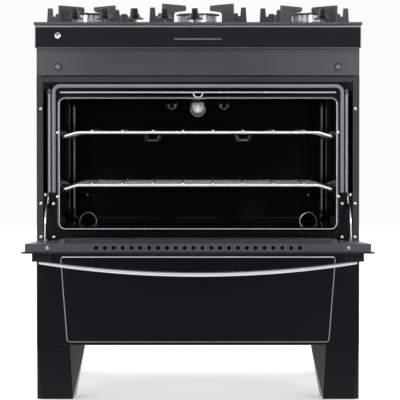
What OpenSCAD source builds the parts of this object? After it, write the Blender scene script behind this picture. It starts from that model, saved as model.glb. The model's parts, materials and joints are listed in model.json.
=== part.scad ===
// Freestanding five-burner gas range, millimetres.
// +Z is up, the viewer stands on the -Y side, x = 0 is the plane of symmetry.
// The origin is on the floor, midway between the open door's edge and the gas inlet's end.

/* [Body] */
// Width over the fascia and the lower panel
body_w = 765; // [730:1:920]
// Depth from the front frame to the back of the rear cover
body_d = 576; // [560:1:700]
// Height of the legs
leg_h = 126; // [100:1:160]
// Height of the lower panel
lower_panel_h = 219; // [180:1:270]
// Height from the lower panel's top to the upper front panel
oven_front_h = 417; // [405:1:510]
// Height of the recessed upper front panel
upper_panel_h = 62; // [50:1:80]
// Height of the fascia strip
fascia_h = 50; // [48:1:64]
// Sheet thickness of the casings
sheet = 1.2; // [0.8:0.1:1.6]
// How far the fascia and the door stand in front of the front frame
face_depth = 24; // [23:0.5:29]

/* [Cooktop] */
// How far the cooktop reaches past the body at each side
top_overhang = 2.5; // [1:0.5:8]
// Height of the cooktop's folded edge
top_edge = 6; // [5:0.5:12]
// Depth of the knobs' axes behind the front frame
knob_y = 36; // [30:1:45]
// Distance between two burner knobs
knob_pitch = 71; // [59:1:85]
// Distance of the first burner knob from the body's side
knob_inset = 91; // [70:1:110]
// Radius of the knobs' skirts
knob_r = 21; // [17:0.5:26]
// Height of a knob over its skirt and grip
knob_h = 26; // [22:1:32]
// Gap below a knob's skirt
knob_gap = 9; // [7:0.5:12]
// Distance of the side burners from the body's side
burner_inset = 118; // [112:1:140]
// Depth of the front burners behind the front frame
burner_front_y = 176; // [170:1:200]
// Distance between a front and a rear burner
burner_pitch = 260; // [240:1:270]
// Radius of a side burner's cap
cap_r = 40; // [33:1:48]
// Radius of the centre burner's cap
centre_cap_r = 54; // [45:1:65]
// Height of the side grates over the cooktop
grate_h = 44; // [38:1:55]
// Height of the centre grate over the cooktop
centre_grate_h = 54; // [45:1:65]
// Thickness of a grate's bars
grate_bar = 6; // [5:0.5:8]

/* [Oven] */
// Depth of the oven liner
cavity_d = 460; // [390:1:460]
// Width of the channel between the oven mouth and the body's outside
mouth_inset = 55; // [52:1:66]
// Height of the oven mouth above the lower panel
mouth_lift = 55; // [52:1:66]
// Height of the oven mouth
mouth_h = 308; // [300:1:316]
// Corner radius of the oven mouth
mouth_r = 13; // [8:1:24]
// Height of the upper rack above the mouth's lower edge
rack_upper_z = 227; // [200:1:240]
// Height of the lower rack above the mouth's lower edge
rack_lower_z = 102; // [85:1:122]
// Diameter of the racks' heavy wire
rack_wire = 6; // [5:0.5:7]
// Number of wires from front to back
rack_wires = 8; // [6:1:12]
// Depth of the racks
rack_d = 420; // [330:1:430]
// Diameter of the door gasket
gasket_d = 9; // [7.5:0.5:10]
// Radius of the oven lamp's glass
lamp_r = 18; // [15:1:21]

/* [Door] */
// Angle between the closed door and the door as drawn
door_open = 88; // [75:1:90]
// Height of the hinge axis above the lower panel
pivot_lift = 19; // [18:0.5:22]
// Thickness of a door glass
glass_t = 4; // [3:0.5:5]
// How far the middle of the inner panel stands proud
door_step = 7; // [4:0.5:8]
// Radius of the hinge arms' arc
arm_r = 93; // [80:1:105]
// Radius of the hinge pins
pin_r = 4; // [3:0.25:5]
// Length of the handle bar
handle_w = 690; // [575:1:720]
// Sag of the handle bar between its ends
handle_sag = 26; // [10:1:32]
// Distance of the handle's ends from the glass
handle_off = 15; // [12:0.5:20]
// Distance of the handle below the door's upper edge
handle_drop = 43; // [30:1:60]
// Number of vent holes in the door's upper edge
vent_count = 24; // [16:1:28]

/* [Gas] */
// Outer radius of the inlet's male thread
inlet_r = 10.48; // [8:0.01:13]
// Length of the inlet's male thread
inlet_len = 15; // [12:1:20]
// Radius of the manifold pipe
manifold_r = 8; // [6.5:0.5:10]
// Radius of a valve spindle
spindle_r = 4; // [3:0.25:5]

/* [Hidden] */
$fn = 48;
e = 0.01;                          // overshoot of a cut
turn_gap = 0.06;                   // radial clearance of a shaft in its bore
seat_gap = 0.5;                    // clearance round a piece that drops into a hole
half_w = body_w / 2;
side_x = half_w - 2;               // outer face of the side panels
post_x = side_x - 15;              // inner edge of the side panels' front flanges

low_top = leg_h + lower_panel_h;
upper_z = low_top + oven_front_h;
fascia_z = upper_z + upper_panel_h + 1;
top_under = fascia_z + fascia_h + 5;
top_z = top_under + top_edge;
flange_y = 8;                      // the plate round the oven mouth lies this far back
door_gap = 3;                      // between the closed door and the front flanges

mouth_x = half_w - mouth_inset;
mouth_z0 = low_top + mouth_lift;
mouth_z1 = mouth_z0 + mouth_h;
cavity_x = mouth_x - 2;
cavity_z0 = mouth_z0 - 2;
cavity_z1 = mouth_z1 + 2;
liner = 1.5;
floor_z = mouth_z0 + 4;            // upper face of the oven floor plate
lagging = 13;                      // thickness of the insulation at the sides
gasket_x = mouth_x + 4 + gasket_d / 2 + 4;
gasket_z1 = mouth_z1 + 29;
gasket_z0 = mouth_z0 + 86;
gasket_bend = 15;

pivot_y = -face_depth / 2;
pivot_z = low_top + pivot_lift;
door_z0 = low_top + 8;
door_z1 = fascia_z - 3;
door_x = half_w - 1.5;
tub_x = door_x - 8;
tub_y0 = -face_depth + glass_t;
step_x = mouth_x - 20;
step_z0 = mouth_z0 + 10;
step_z1 = mouth_z1 - 8;
arm_x = side_x - 26;               // middle of a hinge arm's plate
arm_t = 3;
arm_w = 8;
link_pin_r = 3;                    // pin that joins a spring link to the door
plate_x = arm_x - 5.2;             // inner face of a hinge plate, beside its link
link_y = pivot_y - arm_r * sin(door_open);
link_z = pivot_z + arm_r * cos(door_open);
spring_r = 4.5;
spring_x = arm_x - 3.5;
spring_y = flange_y + 6;
spring_z0 = gasket_z0;
spring_z1 = gasket_z1 - 19;

handle_x = handle_w / 2;
handle_z = door_z1 - handle_drop;
handle_t = 9.5;
handle_bow = (pow(handle_x, 2) + pow(handle_sag, 2)) / (2 * handle_sag);

burner_x = half_w - burner_inset;
burner_rear_y = burner_front_y + burner_pitch;
centre_y = burner_front_y + burner_pitch / 2 - 5;
side_burners = [for (x = [-burner_x, burner_x], y = [burner_front_y, burner_rear_y]) [x, y]];
knob_x = [for (i = [0:4]) -half_w + knob_inset + i * knob_pitch];
oven_knob_x = half_w - knob_inset + 4;
all_knobs = concat(knob_x, [oven_knob_x]);
knob_z = top_z + knob_gap;
push = 3;                          // travel of a knob
valve_z1 = top_under - 8;
valve_h = 34;
manifold_z = valve_z1 - valve_h - manifold_r;
inlet_x = side_x - 31;
button_x = -half_w + 54;
button_z = fascia_z + 29;
button_r = 8;
bezel_r = 10.5;

inlet_y = body_d + inlet_len;
tip_y = pivot_y + (-face_depth - pivot_y) * cos(door_open) - (door_z1 - pivot_z) * sin(door_open);
mid_y = (inlet_y + tip_y) / 2;

// ---- shapes that repeat ----

// Moves what is drawn about the front frame to the part's own origin.
module placed() translate([0, -mid_y, 0]) children();

// The same piece on the left and on the right.
module both_sides() {
    children();
    mirror([1, 0, 0]) children();
}

// A block from one corner to the opposite one.
module block(a, b) translate(a) cube(b - a);

// A round bar from a to b.
module rod(a, b, r) {
    d = b - a;
    len = norm(d);
    translate(a) rotate([0, acos(d[2] / len), atan2(d[1], d[0])]) cylinder(r = r, h = len);
}

// The lump where two bars of radius r meet at p, along Z before it is turned.
module knuckle(p, r, turn = [0, 0, 0]) translate(p) rotate(turn)
    cylinder(r = r + 0.4, h = 2 * r + 0.6, center = true);

// An outline in the XZ plane, from y0 to y1.
module upright(points, y0, y1)
    translate([0, y1, 0]) rotate([90, 0, 0]) linear_extrude(y1 - y0) polygon(points);

// An outline in the YZ plane, x to either side.
module sideways(points, x)
    translate([-x, 0, 0]) rotate([90, 0, 90]) linear_extrude(2 * x) polygon(points);

// A round boss along +Y, from y0 to y1.
module boss(x, z, r, y0, y1) translate([x, y0, z]) rotate([-90, 0, 0]) cylinder(r = r, h = y1 - y0);

function arc(c, r, a0, a1, n = 8) =
    [for (i = [0:n]) let (a = a0 + (a1 - a0) * i / n) c + r * [cos(a), sin(a)]];

function round_rect(x0, z0, x1, z1, r) = concat(
    arc([x1 - r, z1 - r], r, 0, 90), arc([x0 + r, z1 - r], r, 90, 180),
    arc([x0 + r, z0 + r], r, 180, 270), arc([x1 - r, z0 + r], r, 270, 360));

// ---- casings ----

// Painted side sheet with its front flange, which shows as a post beside the oven.
module side_panel() {
    rear = body_d - sheet;
    translate([0, 0, leg_h]) linear_extrude(upper_z - 4 - leg_h) polygon([
        [side_x, 0], [side_x, rear], [post_x, rear], [post_x, rear - sheet],
        [side_x - sheet, rear - sheet], [side_x - sheet, sheet], [post_x + sheet, sheet],
        [post_x + sheet, flange_y], [post_x, flange_y], [post_x, 0]]);
    translate([0, 0, upper_z - 4 - e]) linear_extrude(top_under - upper_z + 4 - sheet) polygon([
        [side_x, 5], [side_x, rear], [post_x, rear], [post_x, rear - sheet],
        [side_x - sheet, rear - sheet], [side_x - sheet, 5]]);
}

module side_panel_right() color("#4a484f") placed() side_panel();
module side_panel_left() color("#4a484f") placed() mirror([1, 0, 0]) side_panel();

// Rear sheet with vent slots, and a hole for the gas inlet.
module rear_cover() {
    slot_w = 90;
    color("#8a8c90") placed() difference() {
        block([-side_x, body_d - sheet, leg_h], [side_x, body_d, top_under - sheet]);
        for (row = [0:7], col = [-2:2])
            block([col * 130 - slot_w / 2, body_d - 5, upper_z - 60 + row * 14],
                [col * 130 + slot_w / 2, body_d + 5, upper_z - 55 + row * 14]);
        boss(inlet_x, manifold_z, inlet_r + 3, body_d - 5, body_d + 5);
    }
}

module base_tray() {
    front = flange_y + 0.2;
    rear = body_d - 2 * sheet;
    color("#6a6b6e") placed() difference() {
        block([-side_x + sheet, front, leg_h], [side_x - sheet, rear, leg_h + 20]);
        block([-side_x + 2 * sheet, front + sheet, leg_h + sheet],
            [side_x - 2 * sheet, rear - sheet, leg_h + 21]);
        for (x = [-1, 1], i = [0:4]) block([x * 120 - 60, 120 + i * 70, leg_h - 1],
            [x * 120 + 60, 128 + i * 70, leg_h + 2]);
    }
}

// Black plate round the oven mouth: channels for the door springs, slots for the hinge arms.
module oven_front_frame() {
    channel_x = gasket_x + gasket_d / 2 + 1;
    bead_z = mouth_z1 + 14;
    color("#1d1b20") placed() {
        difference() {
            block([-post_x + e, flange_y, low_top - 30], [post_x - e, flange_y + liner, upper_z - 17]);
            upright(round_rect(-mouth_x, cavity_z0 - liner - 0.1, mouth_x, cavity_z1 + liner + 0.1,
                mouth_r + liner + 0.1), 0, 20);
            both_sides() {
                block([channel_x, 0, spring_z0], [post_x - 1, 20, upper_z - 23]);
                block([arm_x - 3.6, 0, pivot_z - 11], [arm_x + 7.5, 20, pivot_z + 12]);
                block([arm_x - 3, 0, pivot_z + arm_r - 9], [arm_x + 3, 20, spring_z0 + 1]);
            }
        }
        rod([-mouth_x + 2, flange_y - 0.4, bead_z], [mouth_x - 2, flange_y - 0.4, bead_z], 1.8);
        difference() {
            boss(0, bead_z - 1, 13, flange_y - liner - 2, flange_y + e);
            boss(0, bead_z - 1, 9, flange_y - 10, flange_y + 5);
            block([-20, -10, bead_z - 1], [20, 20, bead_z + 30]);
            block([-20, flange_y - liner - 0.2, mouth_z1 - 5], [20, 20, mouth_z1 + 5.2]);
        }
    }
}

// Grey rail above the oven, between the posts.
module top_rail() {
    web_y = flange_y + 10;         // upright strip behind the upper front panel's lower edge
    color("#4a484f") placed() difference() {
        union() {
            block([-post_x + 0.5, 0, upper_z - 16], [post_x - 0.5, web_y + 10, upper_z - 4]);
            block([-post_x + 0.5, web_y, upper_z - 4 - e], [post_x - 0.5, web_y + sheet, upper_z + 10]);
        }
        block([-post_x, sheet, upper_z - 20], [post_x, web_y + 20, upper_z - 4 - sheet]);
    }
}

// Recessed sheet between the oven and the fascia; the door's upper part covers it when shut.
module upper_front_panel() color("#57545c") placed() difference() {
    block([-side_x + 2, 2, upper_z], [side_x - 2, 16, fascia_z - 1]);
    block([-side_x, 2 + sheet, upper_z + sheet], [side_x, 30, fascia_z - 1 - sheet]);
    both_sides() boss(half_w - 52, upper_z + 20, 4, 0, 10);
}

// Rubber stops that the door shuts against: two round ones, two blocks in the corners.
module door_buffers() color("#141414") placed() both_sides() {
    boss(half_w - 52, upper_z + 20, 9, -door_gap + 0.6, 2);
    boss(half_w - 52, upper_z + 20, 4 - 0.05, 2 - e, 8);
    block([post_x - 18, -door_gap + 0.6, upper_z - 17], [post_x - 1, 0, upper_z - 6]);
}

module fascia_glass() color("#101014") placed() difference() {
    upright(round_rect(-half_w + 2, fascia_z + 1.5, half_w - 2, fascia_z + fascia_h - 1.5, 2),
        -face_depth, -face_depth + glass_t);
    boss(button_x, button_z, bezel_r + 0.2, -face_depth - 5, 0);
}

// Carrier behind the fascia glass, with a thin bright rim and the button's bezel.
module fascia_trim() color("#9a9aa2") placed() {
    difference() {
        block([-half_w, -face_depth + 0.6, fascia_z], [half_w, -1, fascia_z + fascia_h + 3]);
        block([-half_w + 1.5, -face_depth - 5, fascia_z + 1],
            [half_w - 1.5, -face_depth + glass_t, fascia_z + fascia_h - 1]);
        block([-half_w + 2, -face_depth + glass_t + 2, fascia_z + 2],
            [half_w - 2, 5, fascia_z + fascia_h + 1]);
        boss(button_x, button_z, button_r + 0.4, -face_depth - 5, 5);
    }
    difference() {
        boss(button_x, button_z, bezel_r, -face_depth - 1, -face_depth + glass_t + e);
        boss(button_x, button_z, button_r + 0.4, -face_depth - 5, 5);
    }
}

// Glossy pressed panel with a fine raised line in the shape of a trapezoid.
function line_shape(grow) =
    let (z1 = low_top - 10 + grow, z0 = leg_h + 9 - grow, top = half_w - 60 + grow,
        low = half_w - 74 + grow, r = 7 + grow)
    concat(arc([top - r, z1 - r], r, 0, 90), arc([-top + r, z1 - r], r, 90, 180),
        arc([-low + r, z0 + r], r, 180, 270), arc([low - r, z0 + r], r, 270, 360));

module lower_panel() color("#0f0e12") placed() {
    difference() {
        upright(round_rect(-half_w + 3, leg_h + 1, half_w - 3, low_top, 2), -face_depth, 0);
        block([-half_w + 5, -face_depth + 2, leg_h + 3], [half_w - 5, 5, low_top - 2]);
    }
    difference() {
        upright(line_shape(0.9), -face_depth - 0.6, -face_depth + e);
        upright(line_shape(-0.9), -face_depth - 5, 0);
    }
}

rear_leg_slim = 32;                // how much narrower the rear legs are

// Moulded leg: front face, slanting inner facet and a bevel that widens downwards.
function leg_plan(front_in, rear_in, bevel, back) = [
    [-half_w + 3.5 + bevel, -face_depth], [front_in, -face_depth], [rear_in, back],
    [-half_w + 3.5, back], [-half_w + 3.5, -face_depth + bevel * 0.8]];

module leg_form(wall, z0, z1, back, slim) hull() {
    at_in = -half_w + 81 - slim;
    translate([0, 0, z0]) linear_extrude(e) offset(delta = -wall)
        polygon(leg_plan(at_in + 7, at_in + 10.5, 12, back));
    translate([0, 0, z1 - e]) linear_extrude(e) offset(delta = -wall)
        polygon(leg_plan(at_in, at_in + 33, 1, back));
}

module leg(slim = 0) difference() {
    leg_form(0, 0, leg_h, 62, slim);
    leg_form(4, 5, leg_h + 1, 62, slim);
}

module leg_front_left() color("#17161a") placed() leg();
module leg_front_right() color("#17161a") placed() mirror([1, 0, 0]) leg();
module leg_rear_left() color("#17161a") placed()
    translate([0, body_d - face_depth, 0]) mirror([0, 1, 0]) leg(rear_leg_slim);
module leg_rear_right() color("#17161a") placed()
    translate([0, body_d - face_depth, 0]) mirror([0, 1, 0]) mirror([1, 0, 0]) leg(rear_leg_slim);

// ---- oven ----

well_x = cavity_x - 95;
well_y0 = flange_y + 90;
well_y1 = flange_y + cavity_d - 90;
well_z0 = cavity_z0 - 42;
burner_z = cavity_z0 - 20;

// Rack heights as the guides need them: the runners lie below the flat of a rack.
rack_levels = [mouth_z0 + rack_lower_z, mouth_z0 + rack_upper_z];
runner_drop = 9;
rack_x = cavity_x - 9;

// Enamelled liner: open at the front, with rack guides and a well for the burner.
module oven_cavity() {
    guide_in = cavity_x - 15;
    back = flange_y + cavity_d;
    color("#141318") placed() {
        difference() {
            union() {
                upright(round_rect(-cavity_x - liner, cavity_z0 - liner, cavity_x + liner,
                    cavity_z1 + liner, mouth_r + liner), flange_y - liner, back + liner);
                block([-well_x - liner, well_y0 - liner, well_z0 - liner],
                    [well_x + liner, well_y1 + liner, cavity_z0]);
                upright(round_rect(-mouth_x - 5, mouth_z0 - 5, mouth_x + 5, mouth_z1 + 5, mouth_r + 5),
                    flange_y - liner, flange_y);
            }
            upright(round_rect(-cavity_x, cavity_z0, cavity_x, cavity_z1, mouth_r), -10, back);
            block([-well_x, well_y0, well_z0], [well_x, well_y1, cavity_z0 + 1]);
            boss(0, cavity_z1 - lamp_r - 6, lamp_r - 6, back - 5, back + 5);
            block([-12, well_y0 - 5, burner_z - 12], [12, well_y0 + 5, burner_z + 12]);
        }
        for (z = rack_levels) both_sides()
            block([guide_in, flange_y + 14, z - runner_drop - rack_wire / 2 - 4.4],
                [cavity_x + e, back - 8, z - runner_drop - rack_wire / 2 - 0.4]);
        both_sides() {
            boss(67, cavity_z1 - 14, 11, back - 4, back + e);
            block([98, back - 4, rack_levels[1] - 24], [134, back + e, rack_levels[1] - 7]);
            block([cavity_x - 36, back - 6, mouth_z0 + 63], [cavity_x + e, back + e, mouth_z0 + 67]);
        }
    }
}

// Loose floor plate that lies on the liner over the burner well.
module oven_floor() color("#1b1a1f") placed() difference() {
    union() {
        intersection() {
            upright(round_rect(-cavity_x + 4, cavity_z0, cavity_x - 4, cavity_z1, mouth_r - 4),
                flange_y + 6, flange_y + cavity_d - 4);
            block([-cavity_x, 0, cavity_z0], [cavity_x, body_d, floor_z]);
        }
        for (x = [-1, 1]) translate([x * (cavity_x - 47), flange_y + cavity_d - 60, floor_z - 2])
            intersection() {
                sphere(r = 23);
                cylinder(r = 30, h = 30);
            }
    }
    block([-well_x, well_y0, cavity_z0 - 1], [well_x, well_y1, floor_z - 2]);
    for (x = [-60, 60], i = [0:1]) block([x - 14, flange_y + 60 + i * 250, cavity_z0 - 1],
        [x + 14, flange_y + 64 + i * 250, floor_z + 1]);
}

// Mineral wool round the liner.
module oven_insulation() {
    back = flange_y + cavity_d;
    color("#c9c3ae") placed() difference() {
        block([-cavity_x - liner - lagging, flange_y + liner, well_z0 - liner - 14],
            [cavity_x + liner + lagging, back + liner + 30, cavity_z1 + liner + 26]);
        upright(round_rect(-cavity_x - liner, cavity_z0 - liner, cavity_x + liner,
            cavity_z1 + liner, mouth_r + liner), -10, back + liner);
        block([-well_x - liner, well_y0 - liner, well_z0 - liner],
            [well_x + liner, well_y1 + liner, cavity_z0]);
        boss(0, cavity_z1 - lamp_r - 6, lamp_r + 2, back, back + 60);
        block([-12, -10, burner_z - 12], [12, well_y0, burner_z + 12]);
    }
}

// Steel tube burner in the well: a loop with a mixing tube that points at the front.
module oven_burner() {
    x = well_x - 40;
    y0 = well_y0 + 45;
    y1 = well_y1 - 45;
    r = 10;
    color("#777a80") placed() {
        for (y = [y0, y1]) rod([-x, y, burner_z], [x, y, burner_z], r);
        for (s = [-1, 1]) {
            rod([s * x, y0, burner_z], [s * x, y1, burner_z], r);
            for (y = [y0, y1]) knuckle([s * x, y, burner_z], r);
            block([s * x - 6, y0 + 60, well_z0], [s * x + 6, y0 + 80, burner_z]);
        }
        rod([0, well_y0 - 60, burner_z], [0, y0, burner_z], r - 1);
    }
}

// Woven gasket: an upside-down U on the plate above and beside the mouth.
module oven_gasket() {
    r = gasket_d / 2;
    y = flange_y - r;
    bend_z = gasket_z1 - gasket_bend;
    bend_x = gasket_x - gasket_bend;
    color("#8c8a90") placed() {
        both_sides() {
            translate([gasket_x, y, gasket_z0]) cylinder(r = r, h = bend_z - gasket_z0);
            translate([bend_x, y, bend_z]) rotate([90, 0, 0])
                rotate_extrude(angle = 90) translate([gasket_bend, 0]) circle(r = r);
        }
        rod([-bend_x, y, gasket_z1], [bend_x, y, gasket_z1], r);
    }
}

// Lamp in the back wall: holder, bulb and fluted glass.
module lamp_socket() {
    back = flange_y + cavity_d;
    z = cavity_z1 - lamp_r - 6;
    color("#d8d6cf") placed() difference() {
        union() {
            boss(0, z, lamp_r - 6.2, back - 3, back + 28);
            boss(0, z, lamp_r + 1.5, back - 3, back);
        }
        boss(0, z, 8, back - 10, back + 22);
    }
}

module lamp_bulb() {
    back = flange_y + cavity_d;
    z = cavity_z1 - lamp_r - 6;
    color("#f4ecd2") placed() {
        boss(0, z, 7.8, back - 4, back + 21);
        translate([0, back - 9, z]) sphere(r = 9);
    }
}

// Glass cup over the lamp: straight sides, a flat top and a round lower end.
module lamp_cover() {
    wall_y = flange_y + cavity_d - 3;
    z = cavity_z1 - lamp_r - 6;
    shell = 2.2;
    color("#dfe4e6") placed() difference() {
        upright(concat(arc([0, z], lamp_r, 180, 360, 24), [[lamp_r, z + lamp_r], [-lamp_r, z + lamp_r]]),
            wall_y - 24, wall_y);
        upright(concat(arc([0, z], lamp_r - shell, 180, 360, 24),
            [[lamp_r - shell, z + lamp_r - shell], [-lamp_r + shell, z + lamp_r - shell]]),
            wall_y - 24 + shell, wall_y + 1);
    }
}

// Chromed rack: front and rear bars bent down to two runners, and wires from front to back.
module rack(z) {
    r = rack_wire / 2;
    thin = 2.2;
    y0 = flange_y + 12;
    y1 = y0 + rack_d;
    flat_x = rack_x - 30;
    drop_z = z - runner_drop;
    color("#c9ccd0") placed() {
        for (y = [y0, y0 + rack_d * 0.5, y1]) {
            rod([-flat_x, y, z], [flat_x, y, z], r);
            for (s = [-1, 1]) {
                rod([s * flat_x, y, z], [s * rack_x, y, drop_z], r - 0.3);
                knuckle([s * flat_x, y, z], r, [90, 0, 0]);
            }
        }
        for (s = [-1, 1]) rod([s * rack_x, y0 - r, drop_z], [s * rack_x, y1 + r, drop_z], r);
        for (i = [0:rack_wires - 1]) let (x = (i - (rack_wires - 1) / 2) * 2 * flat_x / rack_wires)
            rod([x, y0 - 2, z + r + thin - 0.6], [x, y1 + 2, z + r + thin - 0.6], thin);
    }
}

module rack_upper() rack(rack_levels[1]);
module rack_lower() rack(rack_levels[0]);

// ---- cooktop ----

crown_r = cap_r - 7;
centre_crown_r = centre_cap_r - 8;
crown_top = top_z + 25;
centre_crown_top = top_z + 30;
electrode_at = function (r) [r * cos(200), r * sin(200)];

module cooktop() color("#3a383e") placed() difference() {
    block([-half_w - top_overhang, -face_depth - 3, top_under],
        [half_w + top_overhang, body_d + 2, top_z]);
    block([-half_w - top_overhang + 1.5, -face_depth - 1.5, top_under - 1],
        [half_w + top_overhang - 1.5, body_d + 0.5, top_z - 1.5]);
    for (p = side_burners) {
        translate([p[0], p[1], 0]) cylinder(r = crown_r - 5 + seat_gap, h = top_z + 10);
        translate([p[0], p[1], 0] + [each electrode_at(crown_r + 5), 0]) cylinder(r = 3.6, h = top_z + 10);
    }
    translate([0, centre_y, 0]) cylinder(r = centre_crown_r - 5 + seat_gap, h = top_z + 10);
    translate([0, centre_y, 0] + [each electrode_at(centre_crown_r + 5), 0])
        cylinder(r = 3.6, h = top_z + 10);
    for (x = all_knobs) translate([x, knob_y, 0]) cylinder(r = spindle_r + 2, h = top_z + 10);
}

// Aluminium burner: a cup through the cooktop, a seat ring and a crown with flame slots.
module crown(r, top, slots) difference() {
    union() {
        translate([0, 0, top_z - 22]) cylinder(r = r - 5, h = 23);
        translate([0, 0, top_z]) cylinder(r = r + 1.5, h = 3);
        translate([0, 0, top_z + 3 - e]) cylinder(r = r, h = top - top_z - 3);
    }
    translate([0, 0, top_z - 20]) cylinder(r = r - 8, h = 60);
    for (i = [0:slots - 1]) rotate([0, 0, i * 360 / slots])
        translate([r - 10, -1, top - 8]) cube([20, 2, 20]);
}

module burner_crowns() color("#c3c5c8") placed() {
    for (p = side_burners) translate([p[0], p[1], 0]) crown(crown_r, crown_top, 16);
    translate([0, centre_y, 0]) {
        crown(centre_crown_r, centre_crown_top, 24);
        difference() {
            translate([0, 0, top_z - 20 - e]) cylinder(r = 16, h = centre_crown_top - top_z + 20);
            translate([0, 0, top_z - 10]) cylinder(r = 11, h = 60);
        }
    }
}

// Black enamelled cap with a locating rim inside the crown.
module cap(r, crown_inner, z) {
    translate([0, 0, z]) rotate_extrude() polygon([[0, -3], [crown_inner - 0.5, -3],
        [crown_inner - 0.5, 0], [r, 0], [r, 2.4], [r - 3, 4.5], [0, 6]]);
}

module burner_caps() color("#19181c") placed() {
    for (p = side_burners) translate([p[0], p[1], 0]) cap(cap_r, crown_r - 8, crown_top);
    translate([0, centre_y, centre_crown_top]) {
        rotate_extrude() polygon([[30, -3], [centre_crown_r - 8.5, -3], [centre_crown_r - 8.5, 0],
            [centre_cap_r, 0], [centre_cap_r, 2.4], [centre_cap_r - 3, 4.5], [27, 4.5], [27, 0]]);
        rotate_extrude() polygon([[0, -3], [10.5, -3], [10.5, 0], [20, 0], [20, 2.4], [18, 4.5], [0, 5]]);
    }
}

module electrode(z) {
    translate([0, 0, top_z - 26]) cylinder(r = 3, h = z - top_z + 20);
    translate([0, 0, z - 6 - e]) cylinder(r = 1, h = 5);
}

module spark_electrodes() color("#e6e3da") placed() {
    for (p = side_burners) translate([p[0], p[1], 0] + [each electrode_at(crown_r + 5), 0])
        electrode(crown_top);
    translate([0, centre_y, 0] + [each electrode_at(centre_crown_r + 5), 0]) electrode(centre_crown_top);
}

// Upright grate arm, drawn from its tip at u = 0 to its outer end: finger, notch, deep foot.
function arm_shape(len, h, deep) = [
    [0, h - 7], [1.5, h - 1], [4, h], [12, h], [13.5, h - 2.5], [18, h - 2.5], [19.5, h], [len, h],
    [len, 0], [len - 14, 0], [len - 16, 3], [deep + 3, 3], [deep, 8], [deep, h - 16],
    [deep - 4, h - 11.5], [6, h - 10]];

module grate_arm(tip, end, h, deep_share) {
    d = end - tip;
    len = norm(d);
    translate([tip[0], tip[1], top_z]) rotate([0, 0, atan2(d[1], d[0])])
        upright(arm_shape(len, h, len * deep_share), -grate_bar / 2, grate_bar / 2);
}

function four(p) = [for (sx = [-1, 1], sy = [-1, 1]) [sx * p[0], sy * p[1]]];

// Half of the upright cross plate: a post with a foot that slopes inwards.
module grate_post(x, inner, h, y) upright([
    [x - 6, top_z + h], [x + 6, top_z + h], [x + 9, top_z], [x - 9, top_z], [x - 11, top_z + 2],
    [inner, top_z + 2], [inner, top_z + 11], [x - 30, top_z + 11], [x - 28, top_z + h * 0.72],
    [x - 15, top_z + h * 0.72], [x - 12, top_z + h * 0.58], [x - 8, top_z + h * 0.58]],
    y - grate_bar / 2, y + grate_bar / 2);

module side_grate() {
    arm_end = [66, 105];
    arm_tip = [14, 17];
    middle = (burner_front_y + burner_rear_y) / 2;
    for (y = [burner_front_y, burner_rear_y]) translate([0, y, 0]) for (k = [0:3])
        grate_arm(four(arm_tip)[k], four(arm_end)[k], grate_h, 0.53);
    both_sides() {
        block([arm_end[0] - grate_bar, burner_front_y - arm_end[1], top_z + 2],
            [arm_end[0], burner_rear_y + arm_end[1], top_z + 11]);
        grate_post(103, arm_end[0] - grate_bar, grate_h + 5, middle);
    }
    block([-arm_end[0], middle - grate_bar / 2, top_z + 2],
        [arm_end[0], middle + grate_bar / 2, top_z + 11]);
}

module grate_left() color("#2a282d") placed() translate([-burner_x, 0, 0]) side_grate();
module grate_right() color("#2a282d") placed() translate([burner_x, 0, 0]) side_grate();

module grate_centre() {
    arm_end = [85, 122];
    arm_tip = [31.5, 30];
    color("#2a282d") placed() translate([0, centre_y, 0]) {
        for (k = [0:3]) grate_arm(four(arm_tip)[k], four(arm_end)[k], centre_grate_h, 0.58);
        both_sides() {
            block([arm_end[0] - grate_bar, -arm_end[1], top_z + 2], [arm_end[0], arm_end[1], top_z + 11]);
            grate_post(113, arm_end[0] - grate_bar, centre_grate_h - 3, 0);
        }
        for (s = [-1, 1]) block([-arm_end[0], s * arm_end[1] - grate_bar / 2, top_z + 2],
            [arm_end[0], s * arm_end[1] + grate_bar / 2, top_z + 8]);
    }
}

// Knob: a thin skirt that flares up into a bar grip, with a blind bore for its spindle.
module knob(x) color("#1c1b1f") placed() translate([x, knob_y, knob_z]) difference() {
    union() {
        rotate_extrude() polygon(concat([[0, 0], [knob_r, 0], [knob_r, 2]],
            arc([knob_r - 1, 13], 11, 270, 190, 8), [[0, 12]]));
        upright([[-8.5, 4], [8.5, 4], [7, knob_h - 1], [6, knob_h], [-6, knob_h], [-7, knob_h - 1]],
            -knob_r + 2, knob_r - 2);
    }
    translate([0, 0, -1]) cylinder(r = spindle_r + turn_gap, h = knob_h - 3);
}

module burner_knob_1() knob(knob_x[0]);
module burner_knob_2() knob(knob_x[1]);
module burner_knob_3() knob(knob_x[2]);
module burner_knob_4() knob(knob_x[3]);
module burner_knob_5() knob(knob_x[4]);
module oven_knob() knob(oven_knob_x);

// Spindle from its valve up into the knob's bore, with room left for the knob's push.
module spindle(x) color("#b0a36a") placed() translate([x, knob_y, valve_z1 - 14])
    cylinder(r = spindle_r, h = knob_z + knob_h - 4 - push - 0.5 - valve_z1 + 14);

module burner_spindle_1() spindle(knob_x[0]);
module burner_spindle_2() spindle(knob_x[1]);
module burner_spindle_3() spindle(knob_x[2]);
module burner_spindle_4() spindle(knob_x[3]);
module burner_spindle_5() spindle(knob_x[4]);
module oven_spindle() spindle(oven_knob_x);

// ---- gas ----

module gas_valves() color("#b8a15a") placed() for (x = all_knobs) difference() {
    union() {
        block([x - 12, knob_y - 14, valve_z1 - valve_h], [x + 12, knob_y + 14, valve_z1 - 6]);
        translate([x, knob_y, valve_z1 - 7]) cylinder(r = 9, h = 7);
        boss(x, valve_z1 - 18, 5, knob_y + 14 - e, knob_y + 24);
    }
    translate([x, knob_y, valve_z1 - 15]) cylinder(r = spindle_r + turn_gap, h = 30);
}

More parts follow.
